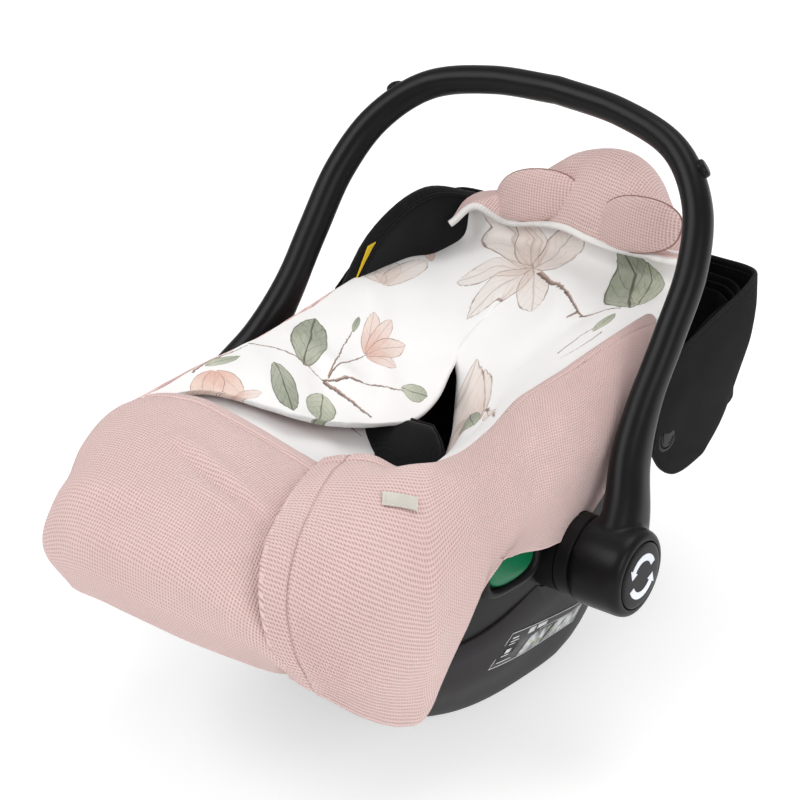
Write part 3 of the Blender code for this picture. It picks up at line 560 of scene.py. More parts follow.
def cloth(name, grid, thick, upper, lower, uv=None, turns=3):
    """A sheet of even thickness round a grid, with a rounded edge; upper is on the side
    that the grid's normals point to."""
    rows, columns = grid.shape[:2]
    normal = normals(grid)
    uv = metres(grid, columns // 2) if uv is None else uv
    top, bottom = grid + normal * thick / 2, grid - normal * thick / 2
    index, quads = grid_faces(rows, columns)
    points = [top.reshape(-1, 3), bottom.reshape(-1, 3)]
    places = [uv.reshape(-1, 2), uv.reshape(-1, 2)]
    border = np.array(border_of(rows, columns))
    inner = np.clip(border, [1, 1], [rows - 2, columns - 2])
    edge, edge_normal = grid[border[:, 0], border[:, 1]], normal[border[:, 0], border[:, 1]]
    out = edge - grid[inner[:, 0], inner[:, 1]]
    out -= edge_normal * (out * edge_normal).sum(axis=1, keepdims=True)
    out /= np.maximum(np.linalg.norm(out, axis=1, keepdims=True), 1e-12)
    flat = uv[border[:, 0], border[:, 1]]
    rings = [index[border[:, 0], border[:, 1]]]
    start = 2 * rows * columns
    for k in range(1, turns):
        angle = math.pi * k / turns
        points.append(edge + (edge_normal * math.cos(angle) + out * math.sin(angle)) * thick / 2)
        places.append(flat + 0.0004 * k)
        rings.append(start + np.arange(len(border)))
        start += len(border)
    rings.append(rings[0] + rows * columns)
    faces = [quads, quads[:, ::-1] + rows * columns]
    kinds = [np.zeros(len(quads)), np.ones(len(quads))]
    for a, b in zip(rings, rings[1:]):
        faces.append(np.stack([np.roll(a, -1), a, b, np.roll(b, -1)], axis=1))
        kinds.append(np.zeros(len(border)))
    points, faces, kinds, places = (np.concatenate(parts) for parts in (points, faces, kinds, places))
    return new_object(name, points, faces, [upper, lower], kinds, places)


def skin(name, rings, material, caps=True, uv=True):
    """A skin over closed rings of equal point counts; uv is True for metres, or the places."""
    rings = np.asarray(rings, float)
    count, sides = rings.shape[:2]
    index = np.arange(count * sides).reshape(count, sides)
    after = np.roll(index, -1, axis=1)
    faces = np.stack([index[:-1], after[:-1], after[1:], index[1:]], axis=2).reshape(-1, 4).tolist()
    if caps:
        faces += [index[0][::-1].tolist(), index[-1].tolist()]
    around = np.linalg.norm(np.roll(rings, -1, axis=1) - rings, axis=2).mean(axis=0)
    u = np.concatenate([[0], np.cumsum(around)[:-1]])
    v = np.concatenate([[0], np.cumsum(np.linalg.norm(np.diff(rings, axis=0), axis=2).mean(axis=1))])
    if uv is True:
        uv = np.stack(np.meshgrid(u, v), axis=2).reshape(-1, 2)
    made = new_object(name, rings.reshape(-1, 3), faces, [material], uv=uv)
    outward(made)
    return made


def outward(obj, weld=0.0):
    """Turns a closed mesh's faces outward, first welding points nearer than weld."""
    bm = bmesh.new()
    bm.from_mesh(obj.data)
    if weld:
        bmesh.ops.remove_doubles(bm, verts=bm.verts, dist=weld)
    bmesh.ops.recalc_face_normals(bm, faces=bm.faces)
    bm.to_mesh(obj.data)
    bm.free()


def tube(name, points, radius, material, sides=10, flat=1.0, up=None, closed=False):
    """A round or flattened cord along points; flat squeezes it along the direction up."""
    points = np.asarray(points, float)
    tangent = np.gradient(points, axis=0) if not closed else np.roll(points, -1, 0) - np.roll(points, 1, 0)
    tangent /= np.linalg.norm(tangent, axis=1, keepdims=True)
    side = np.array((0.0, 0.0, 1.0)) if up is None else np.asarray(up, float)
    side = np.broadcast_to(side, points.shape)
    first = side - tangent * (side * tangent).sum(axis=1, keepdims=True)
    first /= np.maximum(np.linalg.norm(first, axis=1, keepdims=True), 1e-9)
    second = np.cross(tangent, first)
    radii = np.broadcast_to(radius, len(points))
    rings = []
    for a in circle(sides):
        rings.append(points + (first * math.cos(a) * flat + second * math.sin(a)) * radii[:, None])
    rings = np.array(rings).transpose(1, 0, 2)
    if closed:
        rings = np.concatenate([rings, rings[:1]])
    made = skin(name, rings, material, caps=not closed)
    if closed:
        outward(made, weld=0.00001)
    return made


def modifier(obj, kind, **settings):
    made = obj.modifiers.new(kind.lower(), kind)
    for key, value in settings.items():
        setattr(made, key, value)
    return made


def bake_modifiers(obj):
    """Replaces the mesh by what its modifiers make of it."""
    graph = bpy.context.evaluated_depsgraph_get()
    mesh = bpy.data.meshes.new_from_object(obj.evaluated_get(graph), depsgraph=graph)
    obj.modifiers.clear()
    obj.data = mesh
    return obj


def boolean(obj, tool, operation="DIFFERENCE"):
    modifier(obj, "BOOLEAN", operation=operation, object=tool, solver="EXACT")
    bake_modifiers(obj)
    bpy.data.objects.remove(tool, do_unlink=True)


def shade(obj, degrees=35):
    obj.data.shade_smooth()
    obj.data.set_sharp_from_angle(angle=math.radians(degrees))


def turned(name, sign, profile, material, axis=(0.0, HUB_Z), sides=96):
    """A body turned about an axis along X, on the side of sign: profile gives (x, radius) pairs."""
    rings = [
        [(sign * x, axis[0] + radius * math.cos(a), axis[1] + radius * math.sin(a)) for a in circle(sides)]
        for x, radius in profile
    ]
    made = skin(name, rings, material)
    shade(made, 30)
    return made


def stitches(name, line, up, material, pitch=0.0034, length=0.0024, radius=0.00035):
    """A row of short threads along a line, lying on a surface whose normals are up."""
    line, up = np.asarray(line, float), np.asarray(up, float)
    steps = np.linalg.norm(np.diff(line, axis=0), axis=1)
    at = np.concatenate([[0], np.cumsum(steps)])
    points, faces = [], []
    for start in np.arange(0, at[-1] - pitch, pitch):
        ends = []
        for share in (0.0, 0.25, 0.75, 1.0):
            here = start + length * share
            spot = np.array([np.interp(here, at, line[:, k]) for k in range(3)])
            rise = np.array([np.interp(here, at, up[:, k]) for k in range(3)])
            ends.append((spot + rise * radius * (0.9 if 0 < share < 1 else -0.4), rise))
        along = ends[-1][0] - ends[0][0]
        along /= max(np.linalg.norm(along), 1e-9)
        base = len(points)
        for (spot, rise), size in zip(ends, (0.55, 1.0, 1.0, 0.55)):
            side = np.cross(along, rise)
            for k in range(6):
                a = math.pi * k / 3
                points.append(spot + (side * math.cos(a) + rise * math.sin(a)) * radius * size)
        for ring in range(3):
            for k in range(6):
                a, b = base + ring * 6 + k, base + ring * 6 + (k + 1) % 6
                faces.append((a, b, b + 6, a + 6))
        faces.append(tuple(base + k for k in range(5, -1, -1)))
        faces.append(tuple(base + 18 + k for k in range(6)))
    made = new_object(name, points, faces, [material])
    outward(made)
    return made


def add(piece, body, replaces=()):
    """Puts a finished piece on its body."""
    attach(piece, body)
    if replaces:
        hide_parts(*replaces)
    return piece


# ---- finishes ---------------------------------------------------------------------------
HANDLE = plastic("handle_black", (0.0058, 0.0057, 0.0066), 0.34, 0.00003, 1500.0, specular=0.15)
SHELL = plastic("shell_black", (0.0070, 0.0066, 0.0070), 0.44, 0.00005, specular=0.13)
BASE = plastic("base_charcoal", (0.0190, 0.0168, 0.0185), 0.50, 0.00009, 700.0, specular=0.13)
POD = plastic("pod_charcoal", (0.0110, 0.0102, 0.0108), 0.46, 0.00006, 900.0, specular=0.15)
GREEN = plastic("guide_green", (0.0008, 0.135, 0.052), 0.38, 0.00001, 500.0, specular=0.25)
RED = plastic("button_red", (0.50, 0.012, 0.010), 0.30, 0.00002, 600.0)
WHITE_PRINT = plastic("emblem_white", (0.74, 0.76, 0.82), 0.45, 0.00002, 900.0)
FOAM = plastic("foam_white", (0.70, 0.70, 0.68), 0.75, 0.0004, 330.0)
STEEL = plastic("steel_zinc", (0.46, 0.47, 0.49), 0.32, 0.00004, 700.0)
STEEL.node_tree.nodes["Principled BSDF"].inputs["Metallic"].default_value = 1.0
CANOPY = woven("canopy_cloth", (0.0062, 0.0058, 0.0064), 0.0011, 0.90, 0.03)
COVER = woven("cover_fabric", (0.0100, 0.0098, 0.0106), 0.0014, 0.88, 0.10)
PIPING = woven("cover_piping", (0.0062, 0.0060, 0.0066), 0.0009, 0.80, 0.08)
WEBBING = woven("webbing_black", (0.014, 0.014, 0.015), 0.0016, 0.70, 0.05, 0.0004)
TAB = woven("tab_yellow", (0.80, 0.54, 0.020), 0.0010, 0.75, 0.1)
LABEL = woven("label_cream", (0.82, 0.78, 0.70), 0.0006, 0.70, 0.15)
WAFFLE = waffle()
THREAD = woven("thread_pink", (0.60, 0.40, 0.37), 0.0008, 0.8, 0.2)
# A dark pink for the cord round the ears' edges: painted shade for the shadow line along each ear's outline.
EAR_EDGE_SHADE = woven("painted_edge_shade_pink", (0.36, 0.20, 0.17), 0.0008, 0.9, 0.1)
BLACK_THREAD = woven("thread_black", (0.030, 0.029, 0.031), 0.0008, 0.7, 0.1)
BINDING = woven("binding_white", (0.85, 0.83, 0.81), 0.0009, 0.62, 0.2)


# ---- handle, hubs and release buttons -----------------------------------------------------
HANDLE_PATH = (
    (0.2, 0.0), (0.193, 0.04), (0.18, 0.08), (0.1735, 0.125), (0.1725, 0.18), (0.170, 0.235),
    (0.154, 0.285), (0.118, 0.3235), (0.062, 0.341), (0.0, HANDLE_REACH),
)


def tilt(x, height, forward=0.0):
    """A point of the handle's plane; forward is towards the foot end."""
    s, c = math.sin(HANDLE_TILT), math.cos(HANDLE_TILT)
    return np.array((x, height * s - forward * c, HUB_Z + height * c + forward * s))


def handle_ring(point, tangent):
    low = max(0.0, 1.0 - point[1] / 0.15)
    across = 0.0108 + 0.0007 * min(1.0, (HANDLE_REACH - point[1]) / 0.1) + 0.0065 * low**1.5
    swing = 0.0130 + 0.0165 * low**1.3
    normal = np.array((tangent[1], -tangent[0]))
    ring = []
    for a in circle(48):
        ridge = 1.0 + 0.035 * math.cos(2 * a) ** 2
        u = across * power(math.cos(a), 0.78) * ridge
        v = swing * power(math.sin(a), 0.80) * ridge
        ring.append(tilt(point[0] + normal[0] * u, point[1] + normal[1] * u, v))
    return ring


def make_handle():
    half = smooth_rows(HANDLE_PATH, 14)
    path = np.concatenate([half, [(-x, y) for x, y in half[-2::-1]]])
    path = even(path, 300)
    tangents = np.gradient(path, axis=0)
    tangents /= np.linalg.norm(tangents, axis=1, keepdims=True)
    handle = skin("handle_body", [handle_ring(p, t) for p, t in zip(path, tangents)], HANDLE, uv=None)
    for side, sign in SIDES:
        profile = [(0.1776, 0.001), (0.1776, 0.0318), (0.1790, 0.0342), (0.1825, 0.0352), (0.2150, 0.0350)]
        profile += [(0.2188, 0.0342), (0.2212, 0.0324), (0.2222, 0.0300), (0.2222, 0.001)]
        hub = turned(f"hub_{side}", sign, profile, HANDLE)
        boolean(handle, hub, "UNION")
    modifier(handle, "REMESH", mode="VOXEL", voxel_size=0.0015, use_smooth_shade=True)
    modifier(handle, "SMOOTH", factor=0.5, iterations=7)
    bake_modifiers(handle)
    for side, sign in SIDES:
        recess = [
            (0.2124, 0.001), (0.2124, 0.0277), (0.2222, 0.0277), (0.2232, 0.0290), (0.2300, 0.0290),
            (0.2300, 0.001)
        ]
        tool = turned(f"recess_{side}", sign, recess, HANDLE)
        boolean(handle, tool)
    shade(handle, 40)
    add(handle, "handle", ("handle_arch", "handle_arm_left", "handle_arm_right"))
    for side, sign in SIDES:
        make_button(side, sign)
        out = np.array((sign * 0.72, 0.694 * math.sin(HANDLE_TILT), 0.694 * math.cos(HANDLE_TILT)))
        base = tilt(sign * 0.1475, 0.3135)
        line = [base + out * d for d in (-0.006, 0.0008, 0.0024, 0.0032, 0.0035)]
        peg = tube(f"peg_{side}", line, np.array((0.0078, 0.0078, 0.0074, 0.0064, 0.004)), HANDLE, 40)
        shade(peg, 40)
        add(peg, "handle", (f"canopy_peg_{side}",))


def make_button(side, sign):
    profile = [(0.2120, 0.001), (0.2120, 0.0262), (0.2126, 0.0268), (0.2217, 0.0268), (0.2226, 0.0264)]
    profile += [(0.2231, 0.0256), (0.2235, 0.0236), (0.2238, 0.018), (0.2239, 0.010), (0.2239, 0.001)]
    button = turned(f"button_{side}", sign, profile, HANDLE)
    add(button, f"release_{side}", (f"release_button_{side}",))
    points, faces = [], []
    for half in (0, 1):
        turn = math.pi * half + 0.35
        rim = []
        for k in range(25):
            a = turn + 2.15 * k / 24
            rim.append((0.0182 * math.cos(a), 0.0182 * math.sin(a)))
        end = turn + 2.15
        rim.append((0.0214 * math.cos(end), 0.0214 * math.sin(end)))
        rim.append((0.0154 * math.cos(end + 0.42), 0.0154 * math.sin(end + 0.42)))
        rim.append((0.0094 * math.cos(end), 0.0094 * math.sin(end)))
        for k in range(24, -1, -1):
            a = turn + 2.15 * k / 24
            rim.append((0.0126 * math.cos(a), 0.0126 * math.sin(a)))
        first = len(points)
        for x in (0.2238, 0.22415):
            points += [(sign * x, y, HUB_Z + z) for y, z in rim]
        count = len(rim)
        low, high = list(range(first, first + count)), list(range(first + count, first + 2 * count))
        faces.append(low[::-1])
        faces.append(high)
        faces += [(low[k], low[(k + 1) % count], high[(k + 1) % count], high[k]) for k in range(count)]
    emblem = new_object(f"turn_arrows_{side}", points, faces, [WHITE_PRINT], smooth=False)
    outward(emblem)
    add(emblem, f"release_{side}")


def make_hub_mounts():
    for side, sign in SIDES:
        profile = [
            (0.140, 0.001), (0.140, 0.0312), (0.1480, 0.0325), (0.1640, 0.0325), (0.1640, 0.0308),
            (0.1655, 0.0308)
        ]
        profile += [(0.1655, 0.0325), (0.1750, 0.0322), (0.1767, 0.0305), (0.1767, 0.001)]
        mount = turned(f"hub_mount_{side}", sign, profile, SHELL)
        add(mount, "seat", (f"ratchet_plate_{side}",))


# ---- bucket shell, base, belt guides ---------------------------------------------------------
def bowl(offset, angles, lift=0.0, wing=0.0):
    """Rings of the bucket from the rim down; lift raises the rim, wing its side wings."""
    length = (SHELL_REAR - SHELL_FRONT) / 2 - offset
    width = SHELL_HALF_WIDTH - offset
    rings = []
    for angle in angles:
        across, down = math.cos(angle) ** 0.45, math.sin(angle) ** 0.9
        ring = []
        for phi in circle(160):
            x = width * power(math.cos(phi), 0.62)
            rim_y = length * power(math.sin(phi), 0.66)
            y = SHELL_MID + rim_y * across
            rim_z = curve_value(RIM, SHELL_MID + rim_y) + lift
            z = rim_z + (curve_value(BELLY, y) + offset - rim_z) * down
            pressed_down = 1.0 - 0.78 * max(0.0, x / width) ** 0.5
            z += wing * max(0.0, curve_value(WING, SHELL_MID + rim_y)) * (1 - down) * pressed_down
            ring.append((x * across, y, z))
        rings.append(ring)
    return np.array(rings)


ANGLES = [
    math.radians(a)
    for a in (0, 1, 2.5, 4.5, 7, 10, 14, 18, 23, 28, 34, 40, 47, 54, 61, 68, 74, 79, 83, 86, 88, 89.3)
]


def make_shell():
    outer = bowl(0.0, ANGLES)[::-1]
    inner = bowl(SHELL_WALL_IN, ANGLES)
    bead = np.concatenate([bowl(-0.0028, ANGLES[:1], lift=-0.0015), bowl(-0.0030, ANGLES[:1], lift=0.0006)])
    shell = skin("bucket_shell", np.concatenate([outer[:-2], bead, inner]), SHELL)
    shade(shell, 50)
    add(shell, "seat", ("outer_shell",))


SHELL_WALL_IN = 0.0035
BASE_LEVELS = (
    # height, half width, front, rear
    (0.000, 0.106, -0.076, 0.118),
    (0.003, 0.110, -0.083, 0.130),
    (0.014, 0.117, -0.098, 0.148),
    (0.040, 0.127, -0.120, 0.160),
    (0.075, 0.137, -0.148, 0.163),
    (0.108, 0.1455, -0.170, 0.150),
)


def base_level(height, which):
    """Half width, front or rear end of the base at a height."""
    return curve_value([(level[0], level[which]) for level in BASE_LEVELS], height)


def base_ring(height, inset):
    width, front, rear = (base_level(height, k) for k in (1, 2, 3))
    ring = []
    for phi in circle(200):
        y = (front + rear) / 2 + ((rear - front) / 2 - inset) * power(math.sin(phi), 0.72)
        ring.append(((width * base_waist(y, height) - inset) * power(math.cos(phi), 0.5), y, height))
    return ring


def base_waist(y, height):
    """The share of its width that the base keeps at y: low down it narrows to the foot end."""
    low = max(0.0, 1.0 - height / 0.06)
    return 1.0 - 0.13 * low * min(1.0, max(0.0, (0.06 - y) / 0.12))


def base_x(y, z):
    """The base's half width at (y, z)."""
    width, front, rear = (base_level(z, k) for k in (1, 2, 3))
    share = abs(y - (front + rear) / 2) / ((rear - front) / 2)
    return width * base_waist(y, z) * math.sqrt(max(0.0, 1 - share ** (2 / 0.72))) ** 0.5


def base_top(y):
    return 0.1165 + 0.0155 * math.exp(-((y / 0.06) ** 2))


def make_base():
    rings = [
        base_ring(z, 0.0)
        for z in (
            0.0, 0.0006, 0.0016, 0.003, 0.005, 0.008, 0.014, 0.022, 0.03, 0.04, 0.052, 0.064, 0.075, 0.086,
            0.097, 0.106
        )
    ]
    for inset, drop in (
        (0.0, 0.0016), (0.0002, 0.0009), (0.0008, 0.0002), (0.0016, 0.0), (0.0028, 0.0002), (0.0032, 0.001)
    ):
        rings.append([(x, y, base_top(y) - drop) for x, y, z in base_ring(0.108, inset)])
    rings += [base_ring(z, 0.0032) for z in (0.10, 0.075, 0.04, 0.02)]
    base = skin("rocker_base", rings, BASE, uv=None)
    for side, sign in SIDES:
        profile = [(0.12, 0.001), (0.12, 0.0342), (0.19, 0.0342), (0.19, 0.001)]
        boolean(base, turned(f"cut_{side}", sign, profile, BASE, sides=72))
    shade(base, 38)
    add(base, "seat", ("lower_base",))


GUIDE_LEAN = -0.13


def oval(y0, y1, z0, z1, inset, x, sides=96, square=0.62):
    """A rounded ring in the plane of x, leaning along Y as the guide pods do."""
    ring = []
    for a in circle(sides):
        y = (y0 + y1) / 2 + ((y1 - y0) / 2 - inset) * power(math.cos(a), square)
        z = (z0 + z1) / 2 + ((z1 - z0) / 2 - inset) * power(math.sin(a), square)
        ring.append((x, y, z + GUIDE_LEAN * (y - y1)))
    return ring


def make_guides():
    for side, sign in SIDES:
        steps = (
            (0.0, 0.136), (0.0, 0.1560), (0.0004, 0.1572), (0.0014, 0.1584), (0.0028, 0.1590),
            (0.0052, 0.1588)
        )
        steps += ((0.0062, 0.1580), (0.0066, 0.1566), (0.0068, 0.1530), (0.0085, 0.1524), (0.016, 0.1524))
        rings = [oval(-0.112, -0.036, 0.150, 0.198, inset, sign * (x - 0.0015)) for inset, x in steps]
        pod = skin(f"guide_pod_{side}", rings, POD)
        shade(pod, 40)
        add(pod, "seat", (f"belt_guide_pod_{side}",))
        hook_steps = (
            (0.0, 0.1528), (0.0, 0.1552), (0.0006, 0.1563), (0.002, 0.1571), (0.005, 0.1577),
            (0.0095, 0.1580)
        )
        rings = []
        for inset, x in hook_steps:
            rings.append(oval(-0.104, -0.044, 0.1585, 0.190, inset, sign * (x - 0.0015), 72, 0.85))
        hook = skin(f"guide_hook_{side}", rings, GREEN)
        shade(hook, 50)
        add(hook, "seat", (f"belt_guide_{side}",))


LABEL_CORNERS = ((-0.066, 0.069), (0.060, 0.046), (0.072, 0.062), (-0.050, 0.099))


def label_spot(u, v, lift):
    """A point of the base's label: u along it from the foot end, v upwards."""
    a, b, c, d = (np.array(p) for p in LABEL_CORNERS)
    y, z = a * (1 - u) * (1 - v) + b * u * (1 - v) + c * u * v + d * (1 - u) * v
    return (base_x(y, z) + lift, y, z)


def label_patch(points, faces, u0, u1, v0, v1, slant=0.0, lift=0.0005):
    count = max(2, int(abs(u1 - u0) * 26))
    first = len(points)
    for v in (v0, v1):
        for k in range(count + 1):
            u = u0 + (u1 - u0) * k / count + slant * (v - v0)
            points.append(label_spot(u, v, lift))
    for k in range(count):
        faces.append((first + k, first + k + 1, first + count + 2 + k, first + count + 1 + k))


def make_base_label():
    film = plastic("label_film", (0.030, 0.028, 0.030), 0.34, 0.00002, 900.0)
    light = plastic("label_print_light", (0.62, 0.62, 0.63), 0.40, 0.00002, 900.0)
    grey = Shader("label_picture", Roughness=0.38)
    wash = grey.noise(grey.place(), 70.0, 3.0, 0.6)
    lines = grey.noise(grey.place(), 190.0, 1.0, 0.5)
    tone = grey.mix(grey.step(wash, 0.42, 0.58), (0.60, 0.61, 0.63), (0.16, 0.165, 0.17))
    tone = grey.mix(grey.step(lines, 0.62, 0.70), tone, (0.34, 0.42, 0.10))
    grey.put("Base Color", tone)
    groups = {
        "film": (film, [(0, 1, 0, 1, 0, 0.00035)]),
        "lines": (light, [
            (0, 1, 0.0, 0.022), (0, 1, 0.978, 1.0), (0, 0.006, 0, 1), (0.994, 1, 0, 1),
            (0.40, 0.97, 0.72, 0.735), (0.235, 0.315, 0.76, 0.93), (0.345, 0.465, 0.80, 0.93),
            (0.045, 0.12, 0.80, 0.84), (0.045, 0.14, 0.71, 0.74), (0.045, 0.115, 0.63, 0.655),
            (0.045, 0.125, 0.30, 0.33), (0.06, 0.115, 0.38, 0.50), (0.045, 0.19, 0.12, 0.145),
        ]),
        "pictures": (grey, [
            (0.27, 0.53, 0.05, 0.66, 0.10), (0.545, 0.70, 0.05, 0.70, 0.14), (0.715, 0.84, 0.05, 0.70, 0.14),
            (0.855, 0.975, 0.05, 0.86),
        ]),
    }
    first = None
    for name, (paint, patches) in groups.items():
        points, faces = [], []
        for values in patches:
            label_patch(points, faces, *values)
        made = new_object(
            f"base_label_{name}", points, faces,
            [paint if isinstance(paint, bpy.types.Material) else paint.material]
        )
        modifier(made, "SOLIDIFY", thickness=0.0002, offset=-1.0)
        bake_modifiers(made)
        add(made, "seat", ("base_label",) if first is None else ())
        first = made


# ---- canopy ---------------------------------------------------------------------------------
def canopy_line(height):
    """A path round the folded canopy, from the left knob round the back to the right one;
    height 1 is its top edge and 0 its lower edge."""
    top = [
        (0.1555, 0.122, 0.240), (0.1560, 0.150, 0.2535), (0.1562, 0.200, 0.2625), (0.1555, 0.250, 0.2690),
        (0.1535, 0.280, 0.2730), (0.1500, 0.2925, 0.2740), (0.1400, 0.2990, 0.2738), (0.115, 0.3020, 0.2730),
        (0.055, 0.3040, 0.2720), (0.0, 0.3045, 0.2715),
    ]
    low = [
        (0.1555, 0.124, 0.184), (0.1560, 0.142, 0.160), (0.1560, 0.168, 0.1455), (0.1555, 0.205, 0.1450),
        (0.1535, 0.240, 0.1600), (0.1500, 0.270, 0.1840), (0.1410, 0.286, 0.1980), (0.115, 0.294, 0.2060),
        (0.055, 0.297, 0.2090), (0.0, 0.2975, 0.2100),
    ]
    half = [np.array(a) * height + np.array(b) * (1 - height) for a, b in zip(top, low)]
    bulge = 0.0035 * math.sin(math.pi * height)
    half = [
        p + np.array((bulge * min(1, p[0] / 0.1), bulge * 1.6 * min(1, p[1] / 0.3) ** 6, 0)) for p in half
    ]
    mirrored = [np.array((-p[0], p[1], p[2])) for p in half[-2::-1]]
    return half + mirrored


def make_canopy():
    rows = [canopy_line(h) for h in (1.0, 0.86, 0.66, 0.45, 0.22, 0.0)]
    grid = patch(rows, 34, 220, 1)
    folds = []
    for sign in (1, -1):
        folds.append(((sign * 0.157, 0.150, 0.166), (sign * 0.157, 0.235, 0.136), -0.0012, 0.004))
        folds.append(((sign * 0.157, 0.160, 0.180), (sign * 0.157, 0.290, 0.190), 0.0010, 0.020))
        folds.append(((sign * 0.157, 0.140, 0.210), (sign * 0.157, 0.250, 0.245), -0.0008, 0.012))
    grid = pressed(grid, folds, 0.0009, 0.06, 3.1)
    sheet = cloth("canopy_panel", grid, 0.0036, CANOPY, CANOPY)
    add(sheet, "canopy", ("canopy_fabric",))
    normal = normals(grid)
    for name, row, radius in (("top", 0, 0.0019), ("low", -1, 0.0017)):
        rim = tube(f"canopy_binding_{name}", grid[row] + normal[row] * 0.0001, radius, PIPING, 12)
        add(rim, "canopy")
    seam = grid[2] + normal[2] * 0.0019
    add(stitches("canopy_stitching", seam, normal[2], BLACK_THREAD), "canopy")
    for k, (inset, top, low) in enumerate(
        ((0.006, 0.264, 0.166), (0.010, 0.259, 0.174), (0.014, 0.254, 0.182))
    ):
        rows = []
        for height in (1.0, 0.75, 0.5, 0.25, 0.0):
            bend = 0.0025 * math.sin(math.pi * height)
            z = low + (top - low) * height
            line = [
                (0.1535 - inset * 0.35 + bend, 0.158 + 2 * inset, z - 0.01),
                (0.1535 - inset * 0.4 + bend, 0.22, z)
            ]
            line += [(0.1515 - inset * 0.45, 0.272 - inset, z), (0.144 - inset, 0.290 - inset, z)]
            line += [(0.11, 0.2955 - inset + bend, z), (0.0, 0.2975 - inset + bend, z)]
            rows.append(line + [(-x, y, zz) for x, y, zz in line[-2::-1]])
        inner = pressed(patch(rows, 16, 120, 1), (), 0.0008, 0.05, 5.0 + k)
        add(cloth(f"canopy_fold_{k}", inner, 0.0016, CANOPY, CANOPY), "canopy")
    for side, sign in SIDES:
        profile = [
            (0.1566, 0.001), (0.1566, 0.0150), (0.1592, 0.0150), (0.1600, 0.0144), (0.1602, 0.0128),
            (0.1594, 0.0122)
        ]
        profile += [(0.1594, 0.0112), (0.1603, 0.0106), (0.1606, 0.008), (0.1606, 0.001)]
        knob = turned(f"canopy_disc_{side}", sign, profile, HANDLE, (KNOB_Y, KNOB_Z), 72)
        add(knob, "canopy", (f"canopy_knob_{side}",))
        for k, start in enumerate((0.5, 2.6, 4.7)):
            arc = [
                (sign * 0.1607, KNOB_Y + 0.0086 * math.cos(a), KNOB_Z + 0.0086 * math.sin(a))
                for a in np.linspace(start, start + 1.15, 14)
            ]
            add(tube(f"canopy_disc_mark_{side}_{k}", arc, 0.00028, POD, 8, up=(1, 0, 0)), "canopy")


make_handle()
make_hub_mounts()
make_shell()
make_base()
make_guides()
make_base_label()
make_canopy()


# ---- seat padding ---------------------------------------------------------------------------
def make_seat_cover():
    """The padded cover: inside the bucket, over its wings and round the rim."""
    deeper = [min(1.0, max(0.0, (k - 7) / 6.0)) for k in range(len(ANGLES))]
    inner = np.array(
        [bowl(0.0120 + 0.0145 * d, [a], lift=0.006, wing=1.22)[0] for a, d in zip(ANGLES, deeper)]
    )
    outer = np.array(
        [bowl(0.0078 + 0.0112 * d, [a], lift=-0.012, wing=0.6)[0] for a, d in zip(ANGLES, deeper)]
    )
    lip = []
    for offset, lift, wing in (
        (0.0001, -0.020, 0.80), (-0.0038, -0.012, 0.92), (-0.0046, -0.002, 1.06), (-0.0036, 0.006, 1.16),
        (-0.0010, 0.0112, 1.22), (0.0024, 0.0135, 1.25), (0.0062, 0.0132, 1.25), (0.0098, 0.0104, 1.24),
    ):
        lip.append(bowl(offset, ANGLES[:1], lift=lift, wing=wing)[0])
    rings = np.concatenate([outer[:-1][::-1], bowl(0.0050, ANGLES[:1], lift=-0.020, wing=0.6), lip, inner])
    cover = skin("seat_cover_padded", rings, COVER)
    shade(cover, 60)
    add(cover, "seat", ("seat_cover",))
    seam = bowl(0.0110, ANGLES[:1], lift=0.009, wing=1.24)[0]
    cord = tube("cover_rim_piping", seam, 0.0015, PIPING, 10, closed=True)
    add(cord, "seat")


def make_foam_liner():
    """The moulded foam between the shell and the cover."""
    lower = bowl(0.0042, ANGLES[6:], lift=0.0)[::-1]
    upper = np.array([bowl(0.0062 + 0.0008 * k, [a], lift=-0.001)[0] for k, a in enumerate(ANGLES[6:])])
    liner = skin("foam_liner_soft", np.concatenate([lower, upper]), FOAM)
    shade(liner, 60)
    add(liner, "seat", ("foam_liner",))


def puff(name, corners, thick, quilt=0, rows=28):
    """A stuffed pad over a coarse grid: thick in the middle, closed along its edges."""
    columns = 28
    grid = patch(corners, rows, columns, 2)
    normal = normals(grid)
    a = np.linspace(-1, 1, rows)[:, None]
    b = np.linspace(-1, 1, columns)[None, :]
    full = ((1 - np.abs(a) ** 5) * (1 - np.abs(b) ** 5)) ** 0.5
    if quilt:
        full = full * (1 - 0.16 * np.abs(np.cos(math.pi * quilt * (a + 1) / 2)) ** 12)
    top = grid + normal * (thick * full + 0.0004)[..., None]
    low = grid - normal * (thick * 0.35 * full + 0.0004)[..., None]
    index, quads = grid_faces(rows, columns)
    loop = border_of(rows, columns)
    border = np.array([index[i, j] for i, j in loop])
    under = border + rows * columns
    side = np.stack([np.roll(border, -1), border, under, np.roll(under, -1)], axis=1)
    faces = np.concatenate([quads, quads[:, ::-1] + rows * columns, side])
    uv = metres(grid, columns // 2).reshape(-1, 2)
    pad = new_object(
        name, np.concatenate([top, low]).reshape(-1, 3), faces, [COVER], uv=np.concatenate([uv, uv])
    )
    outward(pad)
    ring = np.array([grid[i, j] for i, j in loop])
    return pad, tube(f"{name}_piping", ring, 0.0016, PIPING, 8, closed=True)


def points_of(node):
    return np.array([tuple(vertex.co) for vertex in NODES[node].data.vertices])


def pad_over(node, thick, quilt=0):
    """A stuffed pad where a CAD pad lies: its under face follows the node's own."""
    points = points_of(node)
    low, high = points.min(axis=0), points.max(axis=0)
    rows = []
    for y in np.linspace(low[1], high[1], 5):
        near = points[np.abs(points[:, 1] - y) < 0.012 + (high[1] - low[1]) / 10]
        z = (near[:, 2].min() + near[:, 2].max()) / 2
        rows.append([(x, y, z) for x in np.linspace(low[0], high[0], 4)])
    pad, edge = puff(f"{node}_soft", rows, thick, quilt)
    add(pad, "seat", (node,))
    add(edge, "seat")


